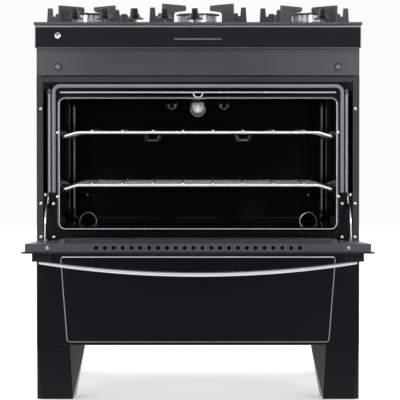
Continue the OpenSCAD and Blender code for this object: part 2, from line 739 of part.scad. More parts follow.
module gas_manifold() color("#a7a9ad") placed() difference() {
    union() {
        rod([knob_x[0] - 25, knob_y, manifold_z], [inlet_x, knob_y, manifold_z], manifold_r);
        block([inlet_x - 11, knob_y - 11, manifold_z - 11], [inlet_x + 11, knob_y + 11, manifold_z + 11]);
    }
    rod([knob_x[0] - 20, knob_y, manifold_z], [inlet_x, knob_y, manifold_z], manifold_r - 2);
}

// Aluminium tubes from the valves to the burners' cups, each at a level of its own.
module feed_tubes() {
    z = valve_z1 - 18;
    r = 2.5;
    level = 6;
    order = [side_burners[1], side_burners[0], [0, centre_y], side_burners[3], side_burners[2]];
    color("#c3c5c8") placed() for (i = [0:4]) {
        low = z - level * (i + 1);
        root = [knob_x[i], knob_y + 27.6, z];
        knee = [knob_x[i], knob_y + 36, low];
        under = [order[i][0] + 3 * (i - 2), order[i][1] - 14, low];
        rod([knob_x[i], knob_y + 24, z], root, r);
        rod(root, knee, r);
        rod(knee, under, r);
        rod(under, [under[0], under[1], top_z - 22], r);
        for (p = [root, knee, under]) knuckle(p, r);
    }
}

// Rear gas pipe with its male thread, where the supply hose is screwed on.
module gas_inlet() color("#b8a15a") placed() difference() {
    union() {
        rod([inlet_x, knob_y + 11, manifold_z], [inlet_x, body_d - 20, manifold_z], manifold_r);
        boss(inlet_x, manifold_z, inlet_r + 2, body_d - 20, body_d - 4);
        boss(inlet_x, manifold_z, inlet_r, body_d - 4, inlet_y);
    }
    rod([inlet_x, knob_y, manifold_z], [inlet_x, inlet_y + 1, manifold_z], manifold_r - 2);
}

module ignition_button() color("#c9c9cf") placed()
    boss(button_x, button_z, button_r, -face_depth - 4.5, -face_depth + glass_t + 10);

// ---- hinges and fasteners ----

// Coil spring that balances the door, drawn as a closed tube with its two hooks.
module door_springs() color("#9fa1a6") placed() both_sides() {
    difference() {
        translate([spring_x, spring_y, spring_z0]) cylinder(r = spring_r, h = spring_z1 - spring_z0);
        translate([spring_x, spring_y, spring_z0 - 1])
            cylinder(r = spring_r - 1.5, h = spring_z1 - spring_z0 + 2);
    }
    translate([spring_x - spring_r + 1, spring_y, spring_z1 - e]) cylinder(r = 0.9, h = 12);
    translate([spring_x + spring_r - 1, spring_y, spring_z0 - 8]) cylinder(r = 0.9, h = 8 + e);
}

// Steel ears on the front frame, each with the pin that its hinge arm turns on.
module hinge_brackets() color("#8f9196") placed() both_sides() {
    ear_x = arm_x + 3;
    block([ear_x, pivot_y, pivot_z - 7.5], [ear_x + 3, flange_y + liner + 3, pivot_z + 7.5]);
    translate([ear_x, pivot_y, pivot_z]) rotate([0, 90, 0]) cylinder(r = 7.5, h = 3);
    block([ear_x, flange_y + liner, pivot_z - 12], [post_x - 1, flange_y + liner + 3, pivot_z + 70]);
    translate([plate_x - 0.4, pivot_y, pivot_z]) rotate([0, 90, 0]) cylinder(r = pin_r,
        h = ear_x + 2 - plate_x);
}

rim_lift = 1 - liner / flange_y;   // the liner's rim stands in front of the plate
screw_spots = [[post_x + 5, 0, 283], [post_x + 5, 0, 60], [post_x + 5, 0, -19],
    [mouth_x + 4.2, rim_lift, 227], [mouth_x + 4.2, rim_lift, 76],
    [gasket_x + 1, 1, 59], [gasket_x + 1, 1, -20], [arm_x + 6, 1, 80]];

// Pan-head screws on the posts and on the plate round the mouth.
module frame_screws() color("#e2e2e4") placed() both_sides() for (s = screw_spots)
    boss(s[0], mouth_z0 + s[2], 3.6, s[1] * flange_y - 2, s[1] * flange_y);

// ---- door, drawn shut and then turned open about its hinge ----

module door() placed() translate([0, pivot_y, pivot_z]) rotate([door_open, 0, 0])
    translate([0, -pivot_y, -pivot_z]) children();

module door_inner_panel() {
    inner_y = -door_gap;
    hollow_y = inner_y - sheet;
    chamfer = 6;
    color("#3b393f") door() difference() {
        union() {
            sideways([[tub_y0, door_z0], [inner_y - chamfer, door_z0], [inner_y, door_z0 + chamfer],
                [inner_y, door_z1 - 2], [tub_y0, door_z1 - 2]], tub_x);
            upright(round_rect(-step_x, step_z0, step_x, step_z1, 12), inner_y - e, inner_y + door_step);
        }
        sideways([[tub_y0 - 1, door_z0 + sheet], [inner_y - chamfer - sheet / 2, door_z0 + sheet],
            [hollow_y, door_z0 + chamfer + sheet / 2], [hollow_y, door_z1 - 2 - sheet],
            [tub_y0 - 1, door_z1 - 2 - sheet]], tub_x - sheet);
        upright(round_rect(-step_x + sheet, step_z0 + sheet, step_x - sheet, step_z1 - sheet, 11),
            hollow_y - 1, hollow_y + door_step);
        upright(round_rect(-step_x + 60, step_z0 + 50, step_x - 60, step_z1 - 50, 10), -5, 20);
        both_sides() {
            block([plate_x - 0.6, -40, door_z0 - 1], [arm_x + 7.5, 5, pivot_z + 12]);
            block([arm_x - 2.7, -8, pivot_z + arm_r - 12], [arm_x + 2.7, 5, pivot_z + arm_r + 58]);
        }
        for (i = [0:vent_count - 1]) translate([(i - (vent_count - 1) / 2) * 19.1,
            (tub_y0 + inner_y) / 2, door_z1 - 10]) cylinder(r = 4.2, h = 20);
    }
}

module door_outer_glass() color("#0c0b0f") door()
    upright(round_rect(-door_x, door_z0, door_x, door_z1, 4), -face_depth, tub_y0);

// Pane held behind the window of the inner panel.
module door_inner_glass() color("#30343a") door() {
    face = -door_gap + door_step - sheet;
    upright(round_rect(-step_x + 45, step_z0 + 35, step_x - 45, step_z1 - 35, 6), face - glass_t, face);
}

module clips_and_screws() color("#b9bbc0") door() both_sides() {
    face = -door_gap + door_step - sheet;
    block([213, face - glass_t - 1.5, step_z1 - 47], [231, face - glass_t, step_z1 - 12]);
    block([213, face - glass_t - e, step_z1 - 24], [231, face, step_z1 - 14]);
    block([213, face - glass_t - 1.5, step_z0 + 12], [231, face - glass_t, step_z0 + 47]);
    block([213, face - glass_t - e, step_z0 + 14], [231, face, step_z0 + 24]);
    translate([tub_x - 48, (tub_y0 - door_gap) / 2, door_z1 - 2]) cylinder(r = 3.4, h = 1.8);
}

// Bowed metal bar, an arc of one large circle.
module door_handle() {
    half_angle = asin(handle_x / handle_bow);
    end_y = -face_depth - handle_off - handle_t / 2;
    color("#d3d4d8") door() translate([0, end_y + handle_bow - handle_sag, handle_z])
        rotate([0, 0, 270 - half_angle]) rotate_extrude(angle = 2 * half_angle, $fn = 1440)
            translate([handle_bow, 0]) polygon(concat(arc([0, 4.2], handle_t / 2, 0, 180),
                arc([0, -4.2], handle_t / 2, 180, 360)));
}

module handle_mounts() color("#151418") door() both_sides()
    difference() {
        block([handle_x - 24, -face_depth - handle_off - 3, handle_z - 11],
            [handle_x + 15, -face_depth, handle_z + 11]);
        block([handle_x - 50, -face_depth - handle_off - 20, handle_z - 9.2],
            [handle_x + 0.4, -face_depth - handle_off + 0.4, handle_z + 9.2]);
    }

// Steel plates inside the door: each has an eye on the frame's pin and a pin for its spring link.
module hinge_plates() color("#8f9196") door() both_sides() translate([0, pivot_y, pivot_z]) {
    translate([plate_x, 0, 0]) rotate([90, 0, 90]) linear_extrude(arm_t) difference() {
        union() {
            circle(r = pin_r + 3);
            translate([-6, 0]) square([9, arm_r]);
            translate([0, arm_r]) circle(r = 6);
        }
        circle(r = pin_r + turn_gap);
    }
    translate([plate_x + arm_t - e, 0, arm_r]) rotate([0, 90, 0]) cylinder(r = link_pin_r, h = arm_t + 1.6);
}

// Bright curved links from the door to the springs, drawn where the open door has pulled them.
module spring_links() color("#d0d2d6") placed() both_sides()
    translate([arm_x - arm_t / 2, pivot_y, pivot_z]) rotate([90, 0, 90])
    linear_extrude(arm_t) difference() {
        union() {
            polygon(concat(arc([0, 0], arm_r + arm_w / 2, 90 + door_open, 76, 24),
                arc([0, 0], arm_r - arm_w / 2, 76, 90 + door_open, 24)));
            translate([link_y - pivot_y, link_z - pivot_z]) circle(r = 6);
            translate([spring_y - pivot_y - 5, arm_r - 6]) square([8, spring_z0 - 8 - pivot_z - arm_r + 6]);
        }
        translate([link_y - pivot_y, link_z - pivot_z]) circle(r = link_pin_r + turn_gap);
    }

// ---- what is drawn ----

side_panel_left();
side_panel_right();
rear_cover();
base_tray();
oven_front_frame();
top_rail();
upper_front_panel();
door_buffers();
fascia_glass();
fascia_trim();
lower_panel();
leg_front_left();
leg_front_right();
leg_rear_left();
leg_rear_right();
oven_cavity();
oven_floor();
oven_insulation();
oven_burner();
oven_gasket();
lamp_socket();
lamp_bulb();
lamp_cover();
rack_upper();
rack_lower();
cooktop();
burner_crowns();
burner_caps();
spark_electrodes();
grate_left();
grate_centre();
grate_right();
burner_knob_1();
burner_knob_2();
burner_knob_3();
burner_knob_4();
burner_knob_5();
oven_knob();
burner_spindle_1();
burner_spindle_2();
burner_spindle_3();
burner_spindle_4();
burner_spindle_5();
oven_spindle();
gas_valves();
gas_manifold();
feed_tubes();
gas_inlet();
ignition_button();
door_springs();
hinge_brackets();
frame_screws();
door_inner_panel();
door_inner_glass();
door_outer_glass();
clips_and_screws();
door_handle();
handle_mounts();
hinge_plates();
spring_links();
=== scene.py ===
import json
import math

import bmesh
import bpy
from mathutils import Matrix, Vector

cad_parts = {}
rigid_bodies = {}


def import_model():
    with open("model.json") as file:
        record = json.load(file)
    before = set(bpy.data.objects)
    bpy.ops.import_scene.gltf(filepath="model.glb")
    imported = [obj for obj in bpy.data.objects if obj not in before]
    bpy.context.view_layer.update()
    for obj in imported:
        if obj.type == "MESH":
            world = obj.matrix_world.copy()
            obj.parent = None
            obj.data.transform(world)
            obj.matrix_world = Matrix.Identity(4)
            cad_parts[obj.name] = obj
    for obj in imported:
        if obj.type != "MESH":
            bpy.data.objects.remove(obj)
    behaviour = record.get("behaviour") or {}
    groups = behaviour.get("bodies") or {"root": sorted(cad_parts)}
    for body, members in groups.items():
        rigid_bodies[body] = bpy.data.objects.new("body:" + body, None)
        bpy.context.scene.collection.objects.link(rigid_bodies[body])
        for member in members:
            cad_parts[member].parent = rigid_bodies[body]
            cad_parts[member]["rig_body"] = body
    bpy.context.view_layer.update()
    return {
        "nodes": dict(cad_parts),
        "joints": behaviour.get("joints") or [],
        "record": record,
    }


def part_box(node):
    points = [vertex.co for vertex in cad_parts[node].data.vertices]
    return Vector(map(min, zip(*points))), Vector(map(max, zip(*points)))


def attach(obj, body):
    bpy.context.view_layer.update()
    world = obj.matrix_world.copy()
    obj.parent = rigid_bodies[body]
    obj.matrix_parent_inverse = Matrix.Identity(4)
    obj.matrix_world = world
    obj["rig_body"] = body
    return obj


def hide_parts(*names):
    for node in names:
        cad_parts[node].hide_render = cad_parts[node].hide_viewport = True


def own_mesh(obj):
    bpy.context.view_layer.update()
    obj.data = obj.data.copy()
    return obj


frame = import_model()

# ---- Stage: floor, soft light and camera ----
# The range stands on a plain pale floor in a white studio. A dark cloth that only reflections see
# hangs far in front and lies under the floor, which reflections pass through: flat glossy fronts
# stay black while curved metal shines at its edges.
MM = 0.001
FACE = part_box("fascia_glass")[0][1]
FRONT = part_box("side_panel_left")[0][1]
camera_far, camera_height, camera_tilt = 5.3, 0.645, 1.902
lens_mm, aim_right = 203.2, 0.051

camera_data = bpy.data.cameras.new("studio_camera")
camera_data.lens = lens_mm
camera_data.sensor_width = 36.0
camera = bpy.data.objects.new("studio_camera", camera_data)
camera.location = (0.0, FACE - camera_far, camera_height)
camera.rotation_euler = (math.radians(90 - camera_tilt), 0.0, math.radians(-aim_right))
bpy.context.scene.collection.objects.link(camera)
bpy.context.scene.camera = camera
bpy.context.scene.view_settings.view_transform = "Standard"


def soft_box(name, place, aim, size, power):
    light = bpy.data.lights.new(name, "AREA")
    light.shape = "RECTANGLE"
    light.size, light.size_y = size
    light.energy = power
    lamp = bpy.data.objects.new(name, light)
    lamp.location = place
    lamp.rotation_euler = (Vector(aim) - Vector(place)).to_track_quat("-Z", "Y").to_euler()
    bpy.context.scene.collection.objects.link(lamp)


soft_box("box_left", (-2.3, -3.2, 0.8), (0, 0, 0.6), (0.35, 1.5), 34)
soft_box("box_right", (2.3, -3.2, 0.8), (0, 0, 0.6), (0.35, 1.5), 34)
soft_box("box_above", (0.0, -0.9, 3.0), (0, 0, 0.5), (2.4, 0.7), 26)

world = bpy.data.worlds.new("studio")
bpy.context.scene.world = world
world.use_nodes = True
sky = world.node_tree.nodes["Background"]
sky.inputs["Color"].default_value = (1.0, 1.0, 1.0, 1.0)
sky.inputs["Strength"].default_value = 0.97

floor_mesh = bpy.data.meshes.new("studio_floor")
floor_bm = bmesh.new()
bmesh.ops.create_grid(floor_bm, x_segments=2, y_segments=2, size=9.0)
floor_bm.to_mesh(floor_mesh)
floor_bm.free()
floor = bpy.data.objects.new("studio_floor", floor_mesh)
floor.location = (0.0, 0.0, -0.0008)
bpy.context.scene.collection.objects.link(floor)
cloth_mesh = bpy.data.meshes.new("dark_cloth")
cloth_bm = bmesh.new()
corners = [cloth_bm.verts.new((s * half, y, z))
           for half, y, z in ((1.3, -0.9, -0.02), (0.95, -6.3, -0.02), (0.95, -6.3, 2.9)) for s in (-1, 1)]
for k in (0, 2):
    cloth_bm.faces.new((corners[k], corners[k + 1], corners[k + 3], corners[k + 2]))
cloth_bm.to_mesh(cloth_mesh)
cloth_bm.free()
cloth = bpy.data.objects.new("dark_cloth", cloth_mesh)
cloth.visible_camera = False
cloth.visible_diffuse = False
floor.visible_glossy = False
bpy.context.scene.collection.objects.link(cloth)
for mesh, tone, rough, glow in ((floor_mesh, 0.93, 0.6, 0.35), (cloth_mesh, 0.02, 0.9, 0.0)):
    paint = bpy.data.materials.new(mesh.name)
    paint.use_nodes = True
    shader = paint.node_tree.nodes["Principled BSDF"]
    shader.inputs["Base Color"].default_value = (tone, tone, tone, 1)
    shader.inputs["Roughness"].default_value = rough
    shader.inputs["Emission Color"].default_value = (1, 1, 1, 1)
    shader.inputs["Emission Strength"].default_value = glow
    mesh.materials.append(paint)

# ---- Painted sheets: side panels, posts, rail ----
# Steel sheet with a baked dark grey enamel. The paint is satin, with a very fine orange-peel skin
# and cloudy changes of shine; each sheet is bent, so its edges are softly rounded.


def skin_group():
    """Cloudy patches and fine grain in the object's own space."""
    tree = bpy.data.node_groups.new("skin", "ShaderNodeTree")
    for label, start in (("Patch Scale", 6.0), ("Grain Scale", 600.0), ("Stretch", 1.0)):
        socket = tree.interface.new_socket(label, in_out="INPUT", socket_type="NodeSocketFloat")
        socket.default_value = start
    for label in ("Patch", "Grain"):
        tree.interface.new_socket(label, in_out="OUTPUT", socket_type="NodeSocketFloat")
    enter = tree.nodes.new("NodeGroupInput")
    leave = tree.nodes.new("NodeGroupOutput")
    place = tree.nodes.new("ShaderNodeTexCoord")
    squeeze = tree.nodes.new("ShaderNodeVectorMath")
    squeeze.operation = "MULTIPLY"
    along = tree.nodes.new("ShaderNodeCombineXYZ")
    along.inputs["Y"].default_value = 1.0
    along.inputs["Z"].default_value = 1.0
    tree.links.new(enter.outputs["Stretch"], along.inputs["X"])
    tree.links.new(place.outputs["Object"], squeeze.inputs[0])
    tree.links.new(along.outputs["Vector"], squeeze.inputs[1])
    for label, scale, detail in (("Patch", "Patch Scale", 3.0), ("Grain", "Grain Scale", 2.0)):
        noise = tree.nodes.new("ShaderNodeTexNoise")
        noise.inputs["Detail"].default_value = detail
        tree.links.new(squeeze.outputs["Vector"], noise.inputs["Vector"])
        tree.links.new(enter.outputs[scale], noise.inputs["Scale"])
        tree.links.new(noise.outputs["Fac"], leave.inputs[label])
    return tree


SKIN = skin_group()


def finish(name, tone, second, rough, play, metal=0.0, patch=6.0, grain=600.0, depth=0.03,
           reach=0.0004, stretch=1.0, gleam=0.5):
    """A surface that drifts between two tones and two roughnesses, with a fine bump."""
    paint = bpy.data.materials.new(name)
    paint.use_nodes = True
    tree = paint.node_tree
    shader = tree.nodes["Principled BSDF"]
    skin = tree.nodes.new("ShaderNodeGroup")
    skin.node_tree = SKIN
    for label, value in (("Patch Scale", patch), ("Grain Scale", grain), ("Stretch", stretch)):
        skin.inputs[label].default_value = value
    blend = tree.nodes.new("ShaderNodeMix")
    blend.data_type = "RGBA"
    blend.inputs["A"].default_value = (*tone, 1)
    blend.inputs["B"].default_value = (*second, 1)
    tree.links.new(skin.outputs["Patch"], blend.inputs["Factor"])
    tree.links.new(blend.outputs["Result"], shader.inputs["Base Color"])
    sheen = tree.nodes.new("ShaderNodeMapRange")
    for label, value in (("From Min", 0.3), ("From Max", 0.7), ("To Min", max(0.02, rough - play)),
                         ("To Max", rough + play)):
        sheen.inputs[label].default_value = value
    tree.links.new(skin.outputs["Patch"], sheen.inputs["Value"])
    tree.links.new(sheen.outputs["Result"], shader.inputs["Roughness"])
    bump = tree.nodes.new("ShaderNodeBump")
    bump.inputs["Strength"].default_value = depth
    bump.inputs["Distance"].default_value = reach
    tree.links.new(skin.outputs["Grain"], bump.inputs["Height"])
    tree.links.new(bump.outputs["Normal"], shader.inputs["Normal"])
    shader.inputs["Metallic"].default_value = metal
    shader.inputs["Specular IOR Level"].default_value = gleam
    return paint


def add_piece(name, mesh, paint, body, slot, *nodes):
    """A finished mesh as a piece of the range, on its body and in place of CAD nodes."""
    mesh.materials.clear()
    mesh.materials.append(paint)
    piece = bpy.data.objects.new(name, mesh)
    bpy.context.scene.collection.objects.link(piece)
    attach(piece, body)
    if nodes:
        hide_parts(*nodes)
    return piece


def shade(mesh, angle=35):
    mesh.polygons.foreach_set("use_smooth", [True] * len(mesh.polygons))
    mesh.set_sharp_from_angle(angle=math.radians(angle))


def rounded_edges(mesh, width, steps=2, angle=30):
    """The same mesh with its sharp edges rounded by a bevel."""
    holder = bpy.data.objects.new("edge_work", mesh)
    bpy.context.scene.collection.objects.link(holder)
    bevel = holder.modifiers.new("bevel", "BEVEL")
    bevel.width = width
    bevel.segments = steps
    bevel.limit_method = "ANGLE"
    bevel.angle_limit = math.radians(angle)
    bevel.use_clamp_overlap = True
    bevel.miter_outer = "MITER_ARC"
    shade(mesh)
    even = holder.modifiers.new("even", "WEIGHTED_NORMAL")
    even.keep_sharp = True
    even.weight = 100
    result = bpy.data.meshes.new_from_object(
        holder.evaluated_get(bpy.context.evaluated_depsgraph_get()))
    bpy.data.objects.remove(holder)
    return result


def sheet_of(node):
    """A node's own shape, with its flat faces joined, ready for rounding."""
    mesh = frame["nodes"][node].data.copy()
    bm = bmesh.new()
    bm.from_mesh(mesh)
    bmesh.ops.remove_doubles(bm, verts=bm.verts, dist=2e-6)
    bmesh.ops.dissolve_limit(bm, angle_limit=math.radians(0.6), verts=bm.verts, edges=bm.edges)
    bm.to_mesh(mesh)
    bm.free()
    return mesh


def rounded_node(node, width, paint, steps=2, angle=30):
    """A node's shape with rounded edges, standing for that node."""
    home = frame["nodes"][node]
    slot = next(s["material_slot"] for s in frame["record"]["subparts"] if s["node"] == node)
    return add_piece(node + "_formed", rounded_edges(sheet_of(node), width, steps, angle), paint,
                     home["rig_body"], slot, node)


grey_enamel = finish("grey_enamel", (0.018, 0.016, 0.026), (0.026, 0.024, 0.036), 0.34, 0.05)
for part in ("side_panel_left", "side_panel_right", "top_rail"):
    rounded_node(part, 0.8 * MM, grey_enamel)

# ---- Rear cover and base tray ----
# Plain galvanised sheet that nobody sees in use: the rear cover has rows of vent slots, and the
# tray below the oven has short slots for air. Zinc spangle makes it cloudy.
zinc_sheet = finish("zinc_sheet", (0.34, 0.35, 0.37), (0.5, 0.51, 0.53), 0.38, 0.12, metal=1.0,
                    patch=55.0, grain=300.0)
rounded_node("base_tray", 0.35 * MM, zinc_sheet)
rear_sheet = frame["nodes"]["rear_cover"].data.copy()
shade(rear_sheet)
add_piece("rear_cover_sheet", rear_sheet, zinc_sheet, "range_body", "zinc_sheet", "rear_cover")

# ---- Plate round the oven mouth ----
# Black enamelled steel plate with channels for the door springs, slots for the hinges and a
# pressed bead above the mouth with a small half-round clip.
frame_enamel = finish("frame_enamel", (0.0012, 0.0012, 0.002), (0.0026, 0.0026, 0.0034), 0.16, 0.04,
                      grain=220.0, depth=0.05, gleam=0.4)
rounded_node("oven_front_frame", 0.4 * MM, frame_enamel)

# ---- Upper front panel and its rubber stops ----
# A recessed sheet in satin grey-violet paint. Two round rubber stops on steel pins and two corner
# blocks take the door's edge when it is shut.
panel_grey = finish("panel_grey", (0.010, 0.008, 0.020), (0.014, 0.012, 0.027), 0.26, 0.03, patch=3.0,
                    gleam=1.0)
panel_grey.node_tree.nodes["Principled BSDF"].inputs["IOR"].default_value = 1.85
rubber = finish("rubber_black", (0.012, 0.012, 0.013), (0.02, 0.02, 0.021), 0.62, 0.1, grain=900.0,
                depth=0.1)
rounded_node("upper_front_panel", 0.8 * MM, panel_grey)


def shaded(bm, name, angle=40):
    """The worked faces as a smooth mesh that keeps its sharp edges."""
    mesh = bpy.data.meshes.new(name)
    bm.to_mesh(mesh)
    bm.free()
    shade(mesh, angle)
    return mesh


def lathe(profile, steps=48):
    """A closed turned shape: (radius, height) points about +Z, from one end to the other."""
    bm = bmesh.new()
    rings = []
    for r, z in profile:
        if r < 1e-7:
            rings.append([bm.verts.new((0, 0, z))])
            continue
        rings.append([bm.verts.new((r * math.cos(2 * math.pi * i / steps),
                                    r * math.sin(2 * math.pi * i / steps), z)) for i in range(steps)])
    for low, high in zip(rings, rings[1:]):
        for i in range(steps):
            j = (i + 1) % steps
            if len(low) == 1:
                bm.faces.new((low[0], high[j], high[i]))
            elif len(high) == 1:
                bm.faces.new((low[i], low[j], high[0]))
            else:
                bm.faces.new((low[i], low[j], high[j], high[i]))
    if len(rings[0]) > 1 and len(rings[-1]) > 1:
        for i in range(steps):
            j = (i + 1) % steps
            bm.faces.new((rings[-1][i], rings[-1][j], rings[0][j], rings[0][i]))
    bmesh.ops.recalc_face_normals(bm, faces=bm.faces)
    return shaded(bm, "turned")


def joined(parts):
    """One mesh from (mesh, matrix) pairs."""
    bm = bmesh.new()
    for mesh, place in parts:
        copy = mesh.copy()
        copy.transform(place)
        bm.from_mesh(copy)
        bpy.data.meshes.remove(copy)
    return shaded(bm, "joined")


def block(low, high, width, steps=3):
    """A block with rounded edges between two corners."""
    bm = bmesh.new()
    bmesh.ops.create_cube(bm, size=1.0)
    low, high = Vector(low), Vector(high)
    for v in bm.verts:
        v.co = Vector((low[i] + (v.co[i] + 0.5) * (high[i] - low[i]) for i in range(3)))
    bmesh.ops.bevel(bm, geom=bm.edges[:], offset=width, segments=steps, affect="EDGES", profile=0.5)
    return shaded(bm, "block")


TO_FRONT = Matrix.Rotation(math.radians(90), 4, "X")        # a turned piece's +Z to -Y
STAY = Matrix.Identity(4)                                   # a piece already in its place
stop_low, stop_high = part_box("door_buffers")
panel_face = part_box("upper_front_panel")[0][1]
stop_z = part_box("upper_front_panel")[0][2] + 20 * MM
stop_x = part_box("fascia_glass")[1][0] + 2 * MM - 52 * MM
stop = lathe([(0, 0), (9 * MM, 0), (9 * MM, 2.4 * MM), (7.6 * MM, 3.9 * MM), (5.4 * MM, 4.2 * MM),
              (4.6 * MM, 3.0 * MM), (0, 2.8 * MM)])
corner_w = 17 * MM
parts = [(stop, Matrix.Translation((s * stop_x, panel_face, stop_z)) @ TO_FRONT) for s in (-1, 1)]
for s in (-1, 1):
    x0, x1 = sorted((s * (stop_high[0]), s * (stop_high[0] - corner_w)))
    corner = block((x0, stop_low[1], stop_low[2]), (x1, FRONT, stop_low[2] + 11 * MM), 1.6 * MM)
    parts.append((corner, STAY))
add_piece("door_stops", joined(parts), rubber, "range_body", "rubber_black", "door_buffers")
stop_pin = finish("stop_pin", (0.14, 0.135, 0.16), (0.2, 0.195, 0.22), 0.3, 0.05, metal=0.5)
pin = lathe([(0, 2 * MM), (6.4 * MM, 2 * MM), (6.4 * MM, 3.9 * MM), (5.6 * MM, 4.3 * MM),
             (4.9 * MM, 3.7 * MM), (3.2 * MM, 3.6 * MM), (1.6 * MM, 4.1 * MM), (0, 4.2 * MM)])
add_piece("door_stop_pins", joined([(pin, Matrix.Translation((s * stop_x, panel_face, stop_z)) @ TO_FRONT)
                                    for s in (-1, 1)]), stop_pin, "range_body", "rubber_black")

# ---- Fascia ----
# A strip of black-backed glass in a bright drawn-metal rim, with one plain printed line in its
# middle and the ignition button at its left. The button is a polished cup in a black ring.
fascia_black = finish("fascia_glass", (0.011, 0.0105, 0.014), (0.013, 0.0125, 0.016), 0.05, 0.02, patch=2.0,
                      grain=40.0, depth=0.004)
rim_metal = finish("trim", (0.42, 0.42, 0.45), (0.52, 0.52, 0.55), 0.3, 0.06, metal=1.0, stretch=0.02,
                   grain=500.0, depth=0.08)
rounded_node("fascia_glass", 0.7 * MM, fascia_black)
rounded_node("fascia_trim", 0.3 * MM, rim_metal)
line_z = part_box("fascia_glass")[0][2] + 19.5 * MM
printed_line = block((-56 * MM, FACE - 0.12 * MM, line_z), (56 * MM, FACE + 0.3 * MM, line_z + 0.9 * MM),
                     0.04 * MM, 1)
silver_print = finish("silver_print", (0.55, 0.55, 0.57), (0.62, 0.62, 0.64), 0.35, 0.05, metal=0.6)
add_piece("fascia_line", printed_line, silver_print, "range_body", "trim")

button_low, button_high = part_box("ignition_button")
button_x = (button_low[0] + button_high[0]) / 2
button_z = (button_low[2] + button_high[2]) / 2
chrome = finish("chrome", (0.78, 0.78, 0.80), (0.84, 0.84, 0.86), 0.07, 0.03, metal=1.0, patch=30.0)
button_r = (button_high[0] - button_low[0]) / 2
button = lathe([(0, 0), (button_r, 0), (button_r, 15.6 * MM), (button_r - 1 * MM, 17 * MM),
                (button_r - 2.2 * MM, 17.2 * MM), (button_r - 3.4 * MM, 16.4 * MM), (0, 15.6 * MM)])
button.transform(Matrix.Translation((button_x, button_low[1] + 17.3 * MM, button_z)) @ TO_FRONT)
add_piece("ignition_cup", button, chrome, "ignition_push", "button_metal", "ignition_button")
bezel = lathe([(8.1 * MM, 0), (10.9 * MM, 0), (10.9 * MM, 1.6 * MM), (10.1 * MM, 2.5 * MM),
               (9.0 * MM, 2.5 * MM), (8.1 * MM, 1.6 * MM)])
bezel.transform(Matrix.Translation((button_x, FACE + 0.4 * MM, button_z)) @ TO_FRONT)
bezel_black = finish("bezel_black", (0.002, 0.002, 0.003), (0.004, 0.004, 0.005), 0.2, 0.05, gleam=0.4)
add_piece("ignition_bezel", bezel, bezel_black, "range_body", "trim")

# ---- Lower panel ----
# A glossy black enamelled pressing across the whole front, with a fine raised line in the shape of a
# trapezoid with rounded corners. It is fixed and has no handle.
black_gloss = finish("black_enamel", (0.006, 0.006, 0.007), (0.007, 0.007, 0.009), 0.09, 0.03, patch=2.5,
                     grain=120.0, depth=0.012)
panel_low, panel_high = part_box("lower_panel")
panel_front = panel_low[1] + 0.6 * MM
inner = 2 * MM
press = bmesh.new()
bmesh.ops.create_cube(press, size=1.0)
for v in press.verts:
    v.co = Vector((v.co[0] * (panel_high[0] - panel_low[0]),
                   panel_front + (v.co[1] + 0.5) * (panel_high[1] - panel_front),
                   panel_low[2] + (v.co[2] + 0.5) * (panel_high[2] - panel_low[2])))
back = [f for f in press.faces if f.normal[1] > 0.9]
bmesh.ops.inset_region(press, faces=back, thickness=inner)
for v in back[0].verts:
    v.co[1] = panel_front + inner
panel_mesh = bpy.data.meshes.new("lower_panel")
press.to_mesh(panel_mesh)
press.free()
add_piece("lower_panel_pressing", rounded_edges(panel_mesh, 1.2 * MM, 3), black_gloss, "range_body",
          "black_enamel", "lower_panel")


def arc_points(cx, cz, r, start, end, steps=6):
    return [(cx + r * math.cos(math.radians(start + (end - start) * i / steps)),
             cz + r * math.sin(math.radians(start + (end - start) * i / steps))) for i in range(steps + 1)]


def tube(points, radius, sides=10, closed=False, flatten=1.0, flat_axis=(0, 1, 0)):
    """A round bar swept along points; flatten squeezes its section along one axis."""
    points = [Vector(p) for p in points]
    count = len(points)
    squash_dir = Vector(flat_axis)
    bm = bmesh.new()
    rings = []
    normal = None
    for i, p in enumerate(points):
        ahead = points[(i + 1) % count] if closed or i + 1 < count else p
        behind = points[i - 1] if closed or i else p
        way = (ahead - behind).normalized()
        if normal is None:
            normal = way.orthogonal().normalized()
        normal = (normal - way * normal.dot(way)).normalized()
        side = way.cross(normal)
        ring = []
        for k in range(sides):
            a = 2 * math.pi * k / sides
            off = normal * (radius * math.cos(a)) + side * (radius * math.sin(a))
            off -= squash_dir * off.dot(squash_dir) * (1 - flatten)
            ring.append(bm.verts.new(p + off))
        rings.append(ring)
    turns = zip(rings, rings[1:] + rings[:1]) if closed else zip(rings, rings[1:])
    shift = 0
    for low, high in turns:
        if closed and high is rings[0]:
            shift = min(range(sides), key=lambda s: (low[0].co - high[s].co).length)
        else:
            shift = 0
        for k in range(sides):
            m = (k + 1) % sides
            bm.faces.new((low[k], low[m], high[(m + shift) % sides], high[(k + shift) % sides]))
    if not closed:
        bm.faces.new(list(reversed(rings[0])))
        bm.faces.new(rings[-1])
    bmesh.ops.recalc_face_normals(bm, faces=bm.faces)
    mesh = bpy.data.meshes.new("bar")
    bm.to_mesh(mesh)
    bm.free()
    shade(mesh, 50)
    return mesh


